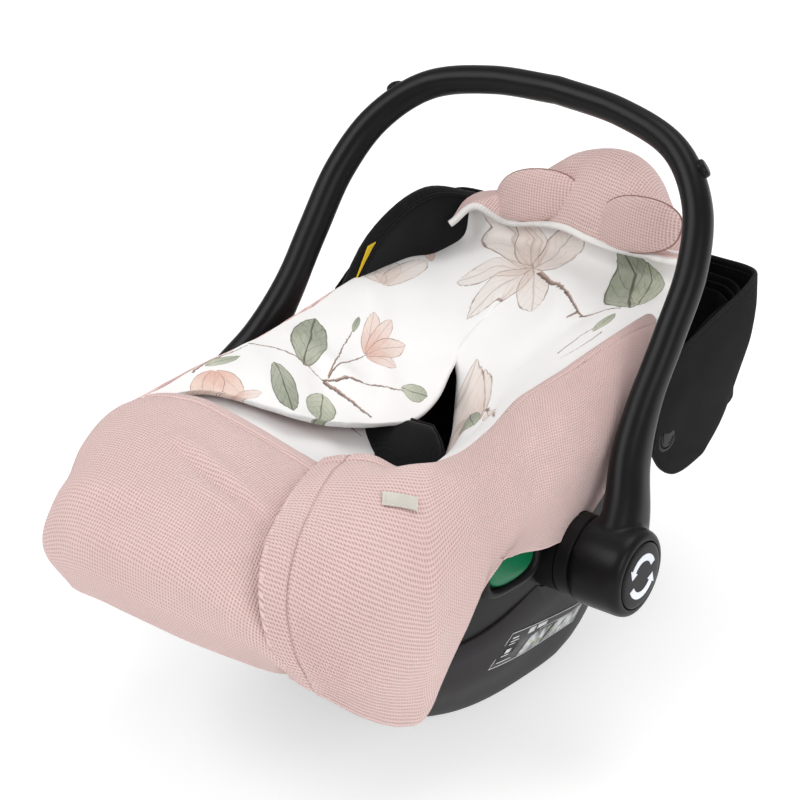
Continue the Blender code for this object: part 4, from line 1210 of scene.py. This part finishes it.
def make_pads():
    pad_over("seat_insert", 0.024, quilt=3)
    pad_over("headrest_pad", 0.020)
    for side, _ in SIDES:
        pad_over(f"shoulder_pad_{side}", 0.006)
    rows = []
    for z, y, half in (
        (0.080, -0.002, 0.036), (0.110, -0.008, 0.042), (0.145, -0.014, 0.047), (0.172, -0.012, 0.047),
        (0.190, -0.003, 0.042), (0.203, 0.009, 0.033), (0.211, 0.018, 0.018),
    ):
        rows.append(
            [(x * half, y - 0.004 * (1 - x * x), z - 0.002 * x * x) for x in (-1.0, -0.6, 0.0, 0.6, 1.0)]
        )
    pad, edge = puff("crotch_pad_soft", rows, 0.0085, rows=40)
    add(pad, "seat", ("crotch_pad",))
    add(edge, "seat")


def strap_over(node):
    """Webbing along a CAD strap: a woven band with a rounded edge."""
    low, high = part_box(node)
    low, high = np.array(low), np.array(high)
    points = points_of(node)
    size = high - low
    long_axis = 2 if size[2] > size[1] else 1
    rows = []
    for t in np.linspace(low[long_axis] + 0.001, high[long_axis] - 0.001, 8):
        away = np.abs(points[:, long_axis] - t)
        other = points[away <= max(size[long_axis] / 8 + 0.002, away.min() + 0.002)].mean(axis=0)
        line = []
        for x in np.linspace(low[0] + 0.0006, high[0] - 0.0006, 5):
            spot = [x, other[1], other[2]]
            spot[long_axis] = t
            line.append(tuple(spot))
        rows.append(line)
    grid = patch(rows, 60, 14, 1)
    strap = cloth(f"{node}_web", grid, 0.0016, WEBBING, WEBBING)
    add(strap, "seat", (node,))


def make_straps():
    for node in ("shoulder_strap_left", "shoulder_strap_right", "adjuster_strap", "crotch_strap"):
        strap_over(node)


make_seat_cover()
make_foam_liner()
make_pads()
make_straps()


# ---- the wrap blanket -------------------------------------------------------------------------
def mm(points):
    return np.array(points) / 1000


BLANKET = 0.0052
POCKET_SEAM, FLAP_SEAM = 0.0155, 0.0185
HEM_STITCH = (0.0034, 0.0025, 0.00045)

POCKET = mm((
    # Seven lines across the foot pocket, from its mouth over the toes to its lower hem.
    (
        (-150, -128, 150), (-154, -132, 200), (-151, -136, 236), (-141, -130, 249),
        (-104, -117, 251), (-46, -124, 249), (-1, -130, 245), (28, -138, 246),
        (60, -152, 250), (92, -170, 246), (121, -180, 228), (130, -184, 195),
    ),
    (
        (-150, -160, 128), (-156, -166, 188), (-154, -170, 230), (-141, -167, 254),
        (-100, -158, 261), (-46, -163, 261), (0, -168, 257), (32, -174, 256),
        (66, -186, 255), (96, -204, 248), (123, -214, 227), (130, -216, 190),
    ),
    (
        (-142, -196, 132), (-150, -202, 185), (-147, -207, 226), (-131, -210, 252),
        (-96, -208, 263), (-46, -211, 263), (0, -214, 260), (35, -218, 258),
        (68, -225, 253), (97, -236, 243), (119, -243, 221), (126, -242, 186),
    ),
    (
        (-129, -230, 150), (-136, -237, 184), (-132, -242, 214), (-117, -248, 240),
        (-91, -253, 254), (-46, -256, 255), (0, -258, 254), (35, -260, 251),
        (67, -262, 245), (94, -265, 233), (113, -266, 209), (118, -262, 183),
    ),
    (
        (-121, -250, 158), (-128, -260, 178), (-125, -270, 199), (-110, -281, 221),
        (-82, -288, 231), (-46, -292, 234), (0, -294, 233), (34, -294, 231),
        (64, -295, 225), (88, -292, 214), (104, -286, 196), (108, -278, 180),
    ),
    (
        (-117, -252, 158), (-122, -263, 170), (-118, -275, 185), (-104, -288, 199),
        (-78, -295, 207), (-44, -298, 209), (0, -300, 209), (33, -299, 207),
        (61, -297, 203), (83, -293, 197), (98, -286, 187), (103, -277, 180),
    ),
    (
        (-110, -244, 149), (-114, -254, 156), (-108, -265, 163), (-94, -276, 169),
        (-72, -282, 174), (-42, -286, 177), (0, -288, 178), (32, -287, 177),
        (58, -284, 175), (79, -280, 173), (93, -273, 170), (98, -265, 167),
    ),
))

NEAR_FLAP = mm((
    # Thirteen lines from the flap's top edge over the side of the seat to its hem.
    ((30, -135, 252), (50, -190, 264), (75, -255, 262), (92, -287, 240), (102, -290, 200), (108, -277, 172)),
    (
        (50, -110, 250), (75, -165, 264), (105, -215, 256), (128, -245, 225), (133, -260, 185),
        (128, -262, 154)
    ),
    ((70, -96, 238), (92, -140, 262), (125, -170, 255), (147, -195, 220), (148, -215, 165), (132, -222, 116)),
    ((88, -78, 240), (105, -105, 258), (135, -125, 250), (155, -145, 215), (150, -165, 150), (130, -178, 84)),
    ((97, -55, 243), (113, -75, 257), (139, -92, 250), (157, -112, 215), (151, -132, 150), (131, -147, 80)),
    ((100, -32, 247), (116, -48, 260), (141, -65, 252), (159, -88, 222), (158, -112, 190), (148, -128, 152)),
    (
        (100, -8, 252), (117, -20, 264), (141, -35, 256), (159, -53, 228), (163, -78, 208),
        (163.5, -100, 197.5)
    ),
    ((100, 17, 257), (118, 8, 267), (140, -4, 258), (158, -16, 235), (164, -30, 205), (165, -41, 182)),
    ((103, 48, 260), (120, 42, 269), (141, 36, 260), (157, 30, 235), (160, 22, 200), (158, 15, 170)),
    ((106, 75, 263), (122, 73, 272), (142, 71, 264), (156, 69, 240), (159, 65, 212), (155, 60, 187)),
    ((112, 105, 268), (126, 103, 277), (141, 100, 270), (152, 96, 255), (153, 90, 236), (150, 85, 218)),
    ((117, 130, 273), (127, 129, 281), (138, 126, 279), (146, 121, 272), (148, 114, 264), (146, 106, 256)),
    ((122, 156, 276), (127, 157, 281), (132, 156, 282), (136, 153, 280), (138, 150, 277), (138, 147, 272)),
))

FAR_LINING = mm((
    # Ten lines from the wrap's crest on the far side to the middle of the seat.
    ((-124, 250, 270), (-104, 235, 284), (-80, 234, 296.5), (-45, 236, 294.5), (-8, 234, 303)),
    ((-132, 225, 256), (-113, 224, 258), (-78, 224, 266), (-43, 224, 272), (-8, 224, 276)),
    ((-133, 175, 255), (-113, 175, 256), (-77, 175, 259), (-42, 175, 262), (-8, 175, 264)),
    ((-134, 128, 253), (-113, 128, 254), (-77, 130, 251), (-42, 131, 250), (-8, 130, 250)),
    ((-136, 90, 252), (-112, 90, 251), (-75, 92, 244), (-42, 94, 238), (-10, 95, 234)),
    ((-137, 44, 249), (-110, 46, 247), (-70, 52, 236), (-36, 60, 228), (-5, 72, 228)),
    ((-137, 0, 248), (-107, 6, 246), (-66, 18, 234), (-33, 30, 223), (1, 45, 216)),
    ((-138, -40, 250), (-104, -32, 246), (-66, -18, 233), (-34, -6, 220), (-1, 15, 209)),
    ((-138, -78, 253), (-106, -63, 247), (-72, -47, 235), (-44, -33, 224), (-14, -10, 212)),
    ((-144.5, -150, 250), (-118, -97, 247), (-72, -72, 235), (-52, -62, 230), (-27, -34, 219)),
))

FAR_WALL = mm((
    # The same lines from the outer hem on the far side up to the crest.
    ((-140, 268, 246), (-139, 268, 250), (-137, 268, 254), (-130, 267, 257)),
    ((-143, 226, 243), (-142, 226, 248), (-139, 226, 252), (-132, 225, 256)),
    ((-146, 176, 238), (-145, 176, 246), (-141, 176, 252), (-133, 175, 255)),
    ((-150, 130, 232), (-149, 130, 243), (-144, 129, 250), (-134, 128, 253)),
    ((-154, 92, 222), (-153, 92, 238), (-147, 92, 248), (-136, 90, 252)),
    ((-157, 45, 205), (-157, 45, 230), (-149, 45, 244), (-137, 44, 249)),
    ((-158, -5, 195), (-159, -3, 228), (-150, 0, 244), (-137, 0, 248)),
    ((-159, -55, 190), (-161, -50, 228), (-152, -45, 246), (-138, -40, 250)),
    ((-159, -98, 185), (-161, -90, 230), (-153, -84, 249), (-138, -78, 253)),
    ((-159, -140, 182), (-161, -142, 222), (-155, -148, 240), (-144.5, -150, 250)),
))

NEAR_LINING = mm((
    # From the middle of the seat to the near flap's top edge, head end first.
    ((-8, 234, 303), (30, 224, 308), (70, 216, 308.5), (105, 215, 311), (136, 222, 310)),
    ((-8, 224, 276), (30, 222, 277), (70, 219, 279), (106, 215, 281), (138, 212, 283)),
    ((-8, 175, 264), (30, 173, 265), (70, 170, 268), (107, 166, 274), (141, 163, 279)),
    ((-8, 130, 250), (30, 127, 252), (70, 125, 258), (104, 123, 266), (124, 122, 271)),
    ((-10, 95, 234), (28, 92, 237), (66, 88, 247), (98, 85, 258), (117, 85, 264)),
    ((2, 78, 218), (32, 66, 224), (66, 55, 238), (93, 45, 252), (113, 42, 259)),
    ((12, 62, 200), (38, 40, 212), (68, 22, 232), (90, 8, 246), (110, 4, 254)),
    ((28, 35, 192), (50, 8, 208), (72, -20, 228), (90, -35, 240), (106, -38, 247)),
    ((46, -8, 192), (60, -30, 208), (74, -55, 226), (86, -68, 235), (97, -70, 240)),
    ((60, -55, 196), (65, -75, 208), (71, -90, 224), (77, -97, 230), (85, -98, 235)),
))

POCKET_FLOOR = mm((
    # The layer under the far flap's front edge, which runs on into the foot pocket.
    ((-140, -20, 230), (-105, -10, 224), (-65, 5, 210), (-30, 18, 196), (-12, 26, 186)),
    ((-142, -60, 234), (-108, -50, 228), (-70, -36, 214), (-35, -20, 200), (-14, -10, 188)),
    ((-142, -100, 238), (-110, -92, 233), (-75, -80, 221), (-40, -62, 206), (-16, -48, 193)),
    ((-141, -150, 232), (-110, -142, 228), (-75, -132, 218), (-40, -118, 206), (-14, -100, 194)),
    ((-138, -195, 216), (-108, -195, 214), (-72, -192, 210), (-36, -186, 204), (0, -176, 198)),
))

HOOD = mm((
    # From the white binding at the hood's front over its top to the back.
    (
        (-97, 208, 286), (-82, 222, 301.5), (-54, 227, 292.5), (-20, 228, 299.5),
        (9, 221, 306), (36, 212, 307), (64, 207, 307.5), (92, 206, 309.5), (125, 210, 310),
    ),
    (
        (-95, 224, 298), (-68, 238, 307), (-36, 246, 315), (-12, 243, 326),
        (16, 233, 330), (42, 225, 330), (68, 221, 328), (92, 223, 323), (116, 236, 308),
    ),
    (
        (-92, 244, 300), (-62, 256, 309), (-34, 260, 329), (-10, 258, 346),
        (17, 253, 353), (43, 249, 352), (66, 246, 344), (88, 246, 327), (108, 252, 306),
    ),
    (
        (-88, 266, 293), (-58, 274, 303), (-34, 276, 328), (-10, 275, 347),
        (17, 274, 357), (43, 272, 356), (64, 269, 345), (83, 266, 323), (99, 268, 300),
    ),
    (
        (-82, 279, 285), (-55, 288, 292), (-33, 293, 311), (-10, 296, 330),
        (15, 297, 339), (40, 295, 337), (60, 291, 326), (76, 285, 306), (90, 281, 289),
    ),
    (
        (-78, 283, 272), (-52, 293, 274), (-30, 300, 281), (-8, 304, 291),
        (14, 305, 295), (36, 303, 293), (56, 298, 285), (72, 291, 276), (84, 284, 270),
    ),
))


def seam_line(grid, axis, distance):
    """A line on a grid at a distance from its first row (axis 0) or column (axis 1)."""
    lines = grid if axis == 1 else grid.transpose(1, 0, 2)
    found = []
    for line in lines:
        steps = np.concatenate([[0], np.cumsum(np.linalg.norm(np.diff(line, axis=0), axis=1))])
        found.append([np.interp(distance, steps, line[:, k]) for k in range(3)])
    return np.array(found)


def grooved(grid, axis, distance, depth):
    """Presses a stitched groove into a grid at a distance from its first row or column."""
    width = 0.0022
    normal = normals(grid)
    lines, turned_back = (grid, False) if axis == 1 else (grid.transpose(1, 0, 2), True)
    steps = np.linalg.norm(np.diff(lines, axis=1), axis=2)
    at = np.concatenate([np.zeros((len(lines), 1)), np.cumsum(steps, axis=1)], axis=1)
    lift = -depth * np.exp(-(((at - distance) / width) ** 2))
    lift += 0.35 * depth * np.exp(-(((at - distance * 0.5) / (distance * 0.32)) ** 2))
    return grid + normal * (lift.T if turned_back else lift)[..., None]


def up_to(grid):
    """Turns a grid over if its normals don't mostly point up and out."""
    middle = grid.reshape(-1, 3).mean(axis=0) - np.array((0, 0, 0.08))
    share = (normals(grid) * (grid - middle)).sum()
    return grid if share > 0 else grid[:, ::-1]


LINING = cotton("lining_cotton")


def make_pocket():
    grid = up_to(patch(POCKET, 150, 260))
    folds = [
        ((-0.060, -0.190, 0.262), (0.060, -0.232, 0.257), 0.0040, 0.0085),
        ((-0.050, -0.206, 0.262), (0.058, -0.240, 0.256), -0.0046, 0.0085),
        ((-0.020, -0.226, 0.262), (0.066, -0.244, 0.256), 0.0040, 0.0080),
        ((-0.105, -0.160, 0.258), (-0.030, -0.185, 0.262), -0.0024, 0.012),
        ((-0.110, -0.262, 0.236), (-0.046, -0.262, 0.253), 0.0038, 0.013),
        ((-0.090, -0.286, 0.222), (-0.030, -0.270, 0.247), -0.0030, 0.012),
        ((-0.060, -0.296, 0.222), (0.060, -0.298, 0.215), -0.0026, 0.010),
        ((0.000, -0.290, 0.238), (0.075, -0.255, 0.250), 0.0024, 0.010),
    ]
    grid = pressed(grid, folds, 0.0010, 0.055, 1.7)
    grid = grooved(grid, 0, POCKET_SEAM, 0.0022)
    pocket = cloth("foot_pocket", grid, BLANKET, WAFFLE, LINING, turns=5)
    add(pocket, "seat", ("wrap_foot_pocket",))
    line = seam_line(grid, 0, POCKET_SEAM)
    up = normals(grid)[8]
    add(stitches("pocket_stitching", line + up * BLANKET * 0.5, up, THREAD, *HEM_STITCH), "seat")


def make_near_flap():
    grid = patch(NEAR_FLAP.transpose(1, 0, 2), 120, 300)[:, ::-1]
    folds = [
        ((0.085, -0.110, 0.262), (0.140, -0.200, 0.225), 0.0024, 0.014),
        ((0.100, -0.085, 0.262), (0.152, -0.160, 0.180), -0.0024, 0.012),
        ((0.120, -0.040, 0.266), (0.158, -0.095, 0.205), 0.0022, 0.012),
        ((0.128, 0.000, 0.268), (0.160, -0.030, 0.200), -0.0020, 0.010),
        ((0.130, 0.090, 0.276), (0.158, 0.030, 0.190), 0.0020, 0.010),
        ((0.105, -0.225, 0.250), (0.134, -0.240, 0.170), -0.0020, 0.012),
    ]
    grid = pressed(grid, folds, 0.0015, 0.05, 7.3)
    grid = grooved(grid, 0, FLAP_SEAM, 0.0016)
    grid = grooved(grid[:, ::-1], 1, FLAP_SEAM, -0.0009)[:, ::-1]
    flap = cloth("near_flap", grid, BLANKET, WAFFLE, LINING, turns=5)
    add(flap, "seat", ("wrap_near_flap",))
    normal = normals(grid)
    for name, lines, axis, up in (("top", grid, 0, normal[13]), ("front", grid[:, ::-1], 1, normal[:, -18])):
        line = seam_line(lines, axis, FLAP_SEAM) + up * BLANKET * 0.5
        add(stitches(f"near_flap_stitching_{name}", line, up, THREAD, *HEM_STITCH), "seat")
    return grid, normal


def make_wrap_label(grid, normal):
    """The small woven label near the near flap's top edge, without its lettering."""
    spot = np.array((0.118, -0.163, 0.261))
    i, j = np.unravel_index(np.linalg.norm(grid - spot, axis=2).argmin(), grid.shape[:2])
    here, up = grid[i, j], normal[i, j]
    along = grid[i, j + 6] - grid[i, j - 6]
    along /= np.linalg.norm(along)
    across = np.cross(up, along)
    rows = []
    for b in (-1, -0.5, 0, 0.5, 1):
        row = []
        for a in (-1, -0.5, 0, 0.5, 1):
            lift = BLANKET * 0.5 + 0.0014 - 0.0006 * (a * a)
            row.append(tuple(here + along * 0.0125 * a + across * 0.0062 * b + up * lift))
        rows.append(row)
    label = cloth("woven_label", up_to(patch(rows, 16, 28, 0)), 0.0009, LABEL, LABEL)
    add(label, "seat", ("wrap_label",))
    for sign in (-1, 1):
        line = [
            here + along * 0.0108 * sign + across * s + up * (BLANKET * 0.5 + 0.0015)
            for s in np.linspace(-0.0052, 0.0052, 12)
        ]
        add(
            stitches(
                f"woven_label_stitching_{'near' if sign > 0 else 'far'}", line, np.repeat([up], 12, 0),
                BINDING, 0.0018, 0.0013, 0.00022
            ),
            "seat"
        )


def make_lining():
    far = patch(FAR_LINING, 170, 150)
    near = patch(NEAR_LINING, 170, 110)
    far_folds = [
        ((-0.120, 0.120, 0.254), (-0.020, 0.010, 0.218), 0.0042, 0.014),
        ((-0.125, 0.060, 0.250), (-0.045, -0.040, 0.224), -0.0040, 0.013),
        ((-0.110, 0.200, 0.256), (-0.020, 0.110, 0.244), -0.0046, 0.015),
        ((-0.060, 0.220, 0.268), (0.000, 0.140, 0.252), 0.0040, 0.012),
        ((-0.115, 0.020, 0.248), (-0.040, 0.005, 0.226), 0.0034, 0.009),
        ((-0.140, -0.020, 0.248), (-0.080, -0.060, 0.238), 0.0020, 0.012),
    ]
    near_folds = [
        ((0.020, 0.220, 0.278), (0.060, 0.120, 0.256), 0.0042, 0.013),
        ((0.080, 0.200, 0.278), (0.050, 0.090, 0.243), -0.0044, 0.014),
        ((0.020, 0.070, 0.222), (0.060, 0.000, 0.215), 0.0016, 0.008),
        ((0.060, 0.060, 0.236), (0.075, -0.030, 0.228), -0.0016, 0.008),
    ]
    for name, grid, folds, flat in (
        ("far", far, far_folds, (0.40, 0.145)), ("near", near, near_folds, (0.30, 0.13))
    ):
        grid = pressed(grid[:, ::-1], folds, 0.0017, 0.06, 2.2)
        uv = grid[..., :2].copy()
        uv[..., 1] += 2.2 * np.maximum(0.0, grid[..., 2] - 0.281) - (grid[..., 2] - 0.25) * 0.9
        sheet = cloth(f"lining_{name}", grid, BLANKET, LINING, WAFFLE, uv=uv, turns=5)
        printed(sheet)
        node = {"far": ("wrap_far_flap",), "near": ("wrap_back_panel",)}[name]
        add(sheet, "seat", node)
    rows = FAR_WALL.copy()
    out, drop = rows[:, 3, 0] - rows[:, 0, 0], rows[:, 3, 2] - rows[:, 0, 2]
    rows[:, 3] += (-0.0004, 0, 0.0006)
    for column, share, fall in ((2, 0.42, 0.0085), (1, 0.80, 0.0230)):
        rows[:, column, 0] = rows[:, 3, 0] - share * out
        rows[:, column, 2] = rows[:, 3, 2] - np.minimum(fall, drop * fall * 22)
    wall = up_to(patch(rows, 150, 40))
    wall = pressed(wall, (), 0.0010, 0.05, 5.0)
    wall = cloth("far_wall", wall, 0.0042, WAFFLE, WAFFLE, turns=5)
    add(wall, "seat")
    floor = patch(POCKET_FLOOR, 90, 70)[:, ::-1]
    floor = pressed(floor, (((-0.10, -0.05, 0.203), (-0.03, -0.10, 0.178), 0.003, 0.012),), 0.002, 0.05, 9.0)
    uv = floor[..., :2] + (0.5, 0.0)
    uv[..., 1] -= (floor[..., 2] - 0.25) * 0.9
    sheet = cloth("lining_pocket_floor", floor, BLANKET, LINING, WAFFLE, uv=uv, turns=5)
    printed(sheet)
    add(sheet, "seat")


def make_hood():
    grid = up_to(patch(HOOD, 90, 170))
    folds = [
        ((-0.010, 0.235, 0.325), (0.015, 0.270, 0.357), -0.0022, 0.007),
        ((0.060, 0.215, 0.320), (0.060, 0.262, 0.350), 0.0018, 0.009),
        ((0.020, 0.225, 0.318), (0.050, 0.222, 0.322), 0.0020, 0.008),
    ]
    grid = pressed(grid, folds, 0.0016, 0.04, 4.4)
    hood = cloth("hood_dome", grid, BLANKET, WAFFLE, LINING, turns=5)
    add(hood, "seat", ("wrap_hood",))
    front = grid[0]
    edge = tube("hood_binding", front - np.array((0, 0.0030, 0.0006)), 0.0033, BINDING, 14, flat=0.9)
    add(edge, "seat")
    seam = grid[3] + normals(grid)[3] * BLANKET * 0.5
    add(stitches("hood_stitching", seam, normals(grid)[3], BINDING, 0.003, 0.002, 0.00025), "seat")
    for piece in (hood, edge, bpy.data.objects["hood_stitching"]):
        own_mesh(piece)
    for side, at, half_width, height, seed in (
        ("left", (0.0800, 0.2100, 0.3300), 0.0425, 0.0230, 0.0),
        ("right", (-0.0340, 0.2325, 0.3185), 0.0430, 0.0226, 4.0),
    ):
        make_ear(side, np.array(at), half_width, height, seed)


def make_ear(side, at, half_width, height, seed):
    """A stuffed round ear: two waffle faces sewn together round the edge."""
    right = np.array((0.97, -0.10, 0.16) if side == "left" else (0.965, -0.06, 0.25))
    up = np.array((0.05, 0.27, 0.96) if side == "left" else (-0.03, 0.32, 0.94))
    right /= np.linalg.norm(right)
    up /= np.linalg.norm(up)
    out = np.cross(right, up)
    rings = []
    steps = [1.0, 0.985, 0.95, 0.89, 0.80, 0.68, 0.54, 0.40, 0.25, 0.10]
    sides = 96
    for face in (1, -1):
        order = steps[::-1] if face > 0 else steps
        for share in order:
            ring = []
            for a in circle(sides):
                x = half_width * power(math.cos(a), 0.92) * share
                y = height * power(math.sin(a), 0.84 if math.sin(a) > 0 else 0.62) * share
                depth = 0.0075 * max(0.0, 1 - share**2.8) ** 0.5
                wave = 0.0011 * noise.noise(Vector((x * 60 + seed, y * 60, face)))
                cup = -0.10 * y - 5.0 * (x * x) + 0.0015 * math.sin(40 * x + seed)
                ring.append(
                    at + right * x + up * y + out * (face * (depth + 0.0006) + wave * (1 - share) + cup)
                )
            rings.append(ring)
    rings = np.array(rings)
    flat = rings.reshape(-1, 3) - at
    uv = np.stack([flat @ right, flat @ up], axis=1) + seed
    ear = skin(f"ear_{side}", rings, WAFFLE, uv=uv)
    add(ear, "seat", (f"wrap_ear_{side}",))
    # The ear's sewn edge as a raised cord, coloured dark as painted shade for the shadow along the ear's
    # outline.
    seam = tube(f"ear_shade_cord_{side}", rings[len(steps) - 1], 0.0008, EAR_EDGE_SHADE, 8, closed=True)
    add(seam, "seat")
    for piece in (ear, seam):
        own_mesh(piece)


def make_side_tab():
    rows = []
    for z in (0.282, 0.275, 0.268, 0.261, 0.254):
        rows.append(
            [
                (-0.1335 + 0.12 * (z - 0.256), y + 0.5 * (z - 0.256), z)
                for y in (0.120, 0.127, 0.134, 0.141, 0.148)
            ]
        )
    grid = patch(rows, 30, 26, 0)
    if normals(grid)[..., 0].sum() < 0:
        grid = grid[:, ::-1]
    tab = cloth("side_tab_cloth", grid, 0.0014, TAB, TAB)
    add(tab, "seat", ("side_tab",))
    for row in (2, -3):
        up = normals(grid)[row]
        add(
            stitches(
                f"side_tab_stitching_{'top' if row > 0 else 'low'}", grid[row] + up * 0.0008, up, TAB,
                0.002, 0.0014, 0.0002
            ),
            "seat"
        )


make_pocket()
make_wrap_label(*make_near_flap())
make_lining()
make_hood()
make_side_tab()


# ---- materials of the frame's own nodes that stay in view ----------------------------------
PAINTS = {
    "adjuster_housing": SHELL, "adjuster_button": HANDLE, "buckle_body": HANDLE, "buckle_tongue": HANDLE,
    "buckle_button": RED, "rear_belt_guide": GREEN, "canopy_socket": SHELL, "lock_gear": STEEL,
    "pivot_bolt": STEEL, "button_spring": STEEL, "base_screw": STEEL,
}
for key, obj in NODES.items():
    for start, paint in PAINTS.items():
        if key.startswith(start):
            obj.data.materials.clear()
            obj.data.materials.append(paint)


# ---- floor, lights and camera ----------------------------------------------------------------
def make_stage():
    floor = new_object(
        "floor", [(-6, -6, 0), (6, -6, 0), (6, 6, 0), (-6, 6, 0)], [(0, 1, 2, 3)], [], smooth=False
    )
    paper = Shader("paper", Roughness=0.9, Specular_IOR_Level=0.1)
    paper.put("Base Color", (0.62, 0.62, 0.62))
    paper.put("Emission Color", (1.0, 1.0, 1.0))
    paper.put("Emission Strength", 0.56)
    floor.data.materials.append(paper.material)
    world = bpy.data.worlds.new("studio")
    bpy.context.scene.world = world
    world.use_nodes = True
    world.node_tree.nodes["Background"].inputs[0].default_value = (1.0, 1.0, 1.0, 1.0)
    world.node_tree.nodes["Background"].inputs[1].default_value = 0.50
    for name, place, target, size, watts in (
        ("key", (-1.6, -1.9, 2.6), (0, 0, 0.2), 1.7, 46),
        ("fill", (2.6, -1.0, 1.6), (0, 0, 0.2), 1.8, 32),
        ("top", (0.2, 0.9, 2.9), (0, 0, 0.2), 1.6, 24),
    ):
        lamp = bpy.data.lights.new(name, "AREA")
        lamp.shape = "RECTANGLE"
        lamp.size = lamp.size_y = size
        lamp.energy = watts
        obj = bpy.data.objects.new(name, lamp)
        obj.location = place
        obj.rotation_euler = (Vector(target) - Vector(place)).to_track_quat("-Z", "Y").to_euler()
        bpy.context.scene.collection.objects.link(obj)
    camera = bpy.data.cameras.new("camera")
    camera.lens, camera.sensor_width = 109.65, 36.0
    eye = bpy.data.objects.new("camera", camera)
    eye.location = (0.98743, -1.35949, 1.13393)
    look = Vector((0.0, -0.001, 0.235)) - eye.location
    eye.rotation_euler = look.to_track_quat("-Z", "Y").to_euler()
    bpy.context.scene.collection.objects.link(eye)
    bpy.context.scene.camera = eye
    bpy.context.scene.view_settings.view_transform = "Standard"


make_stage()
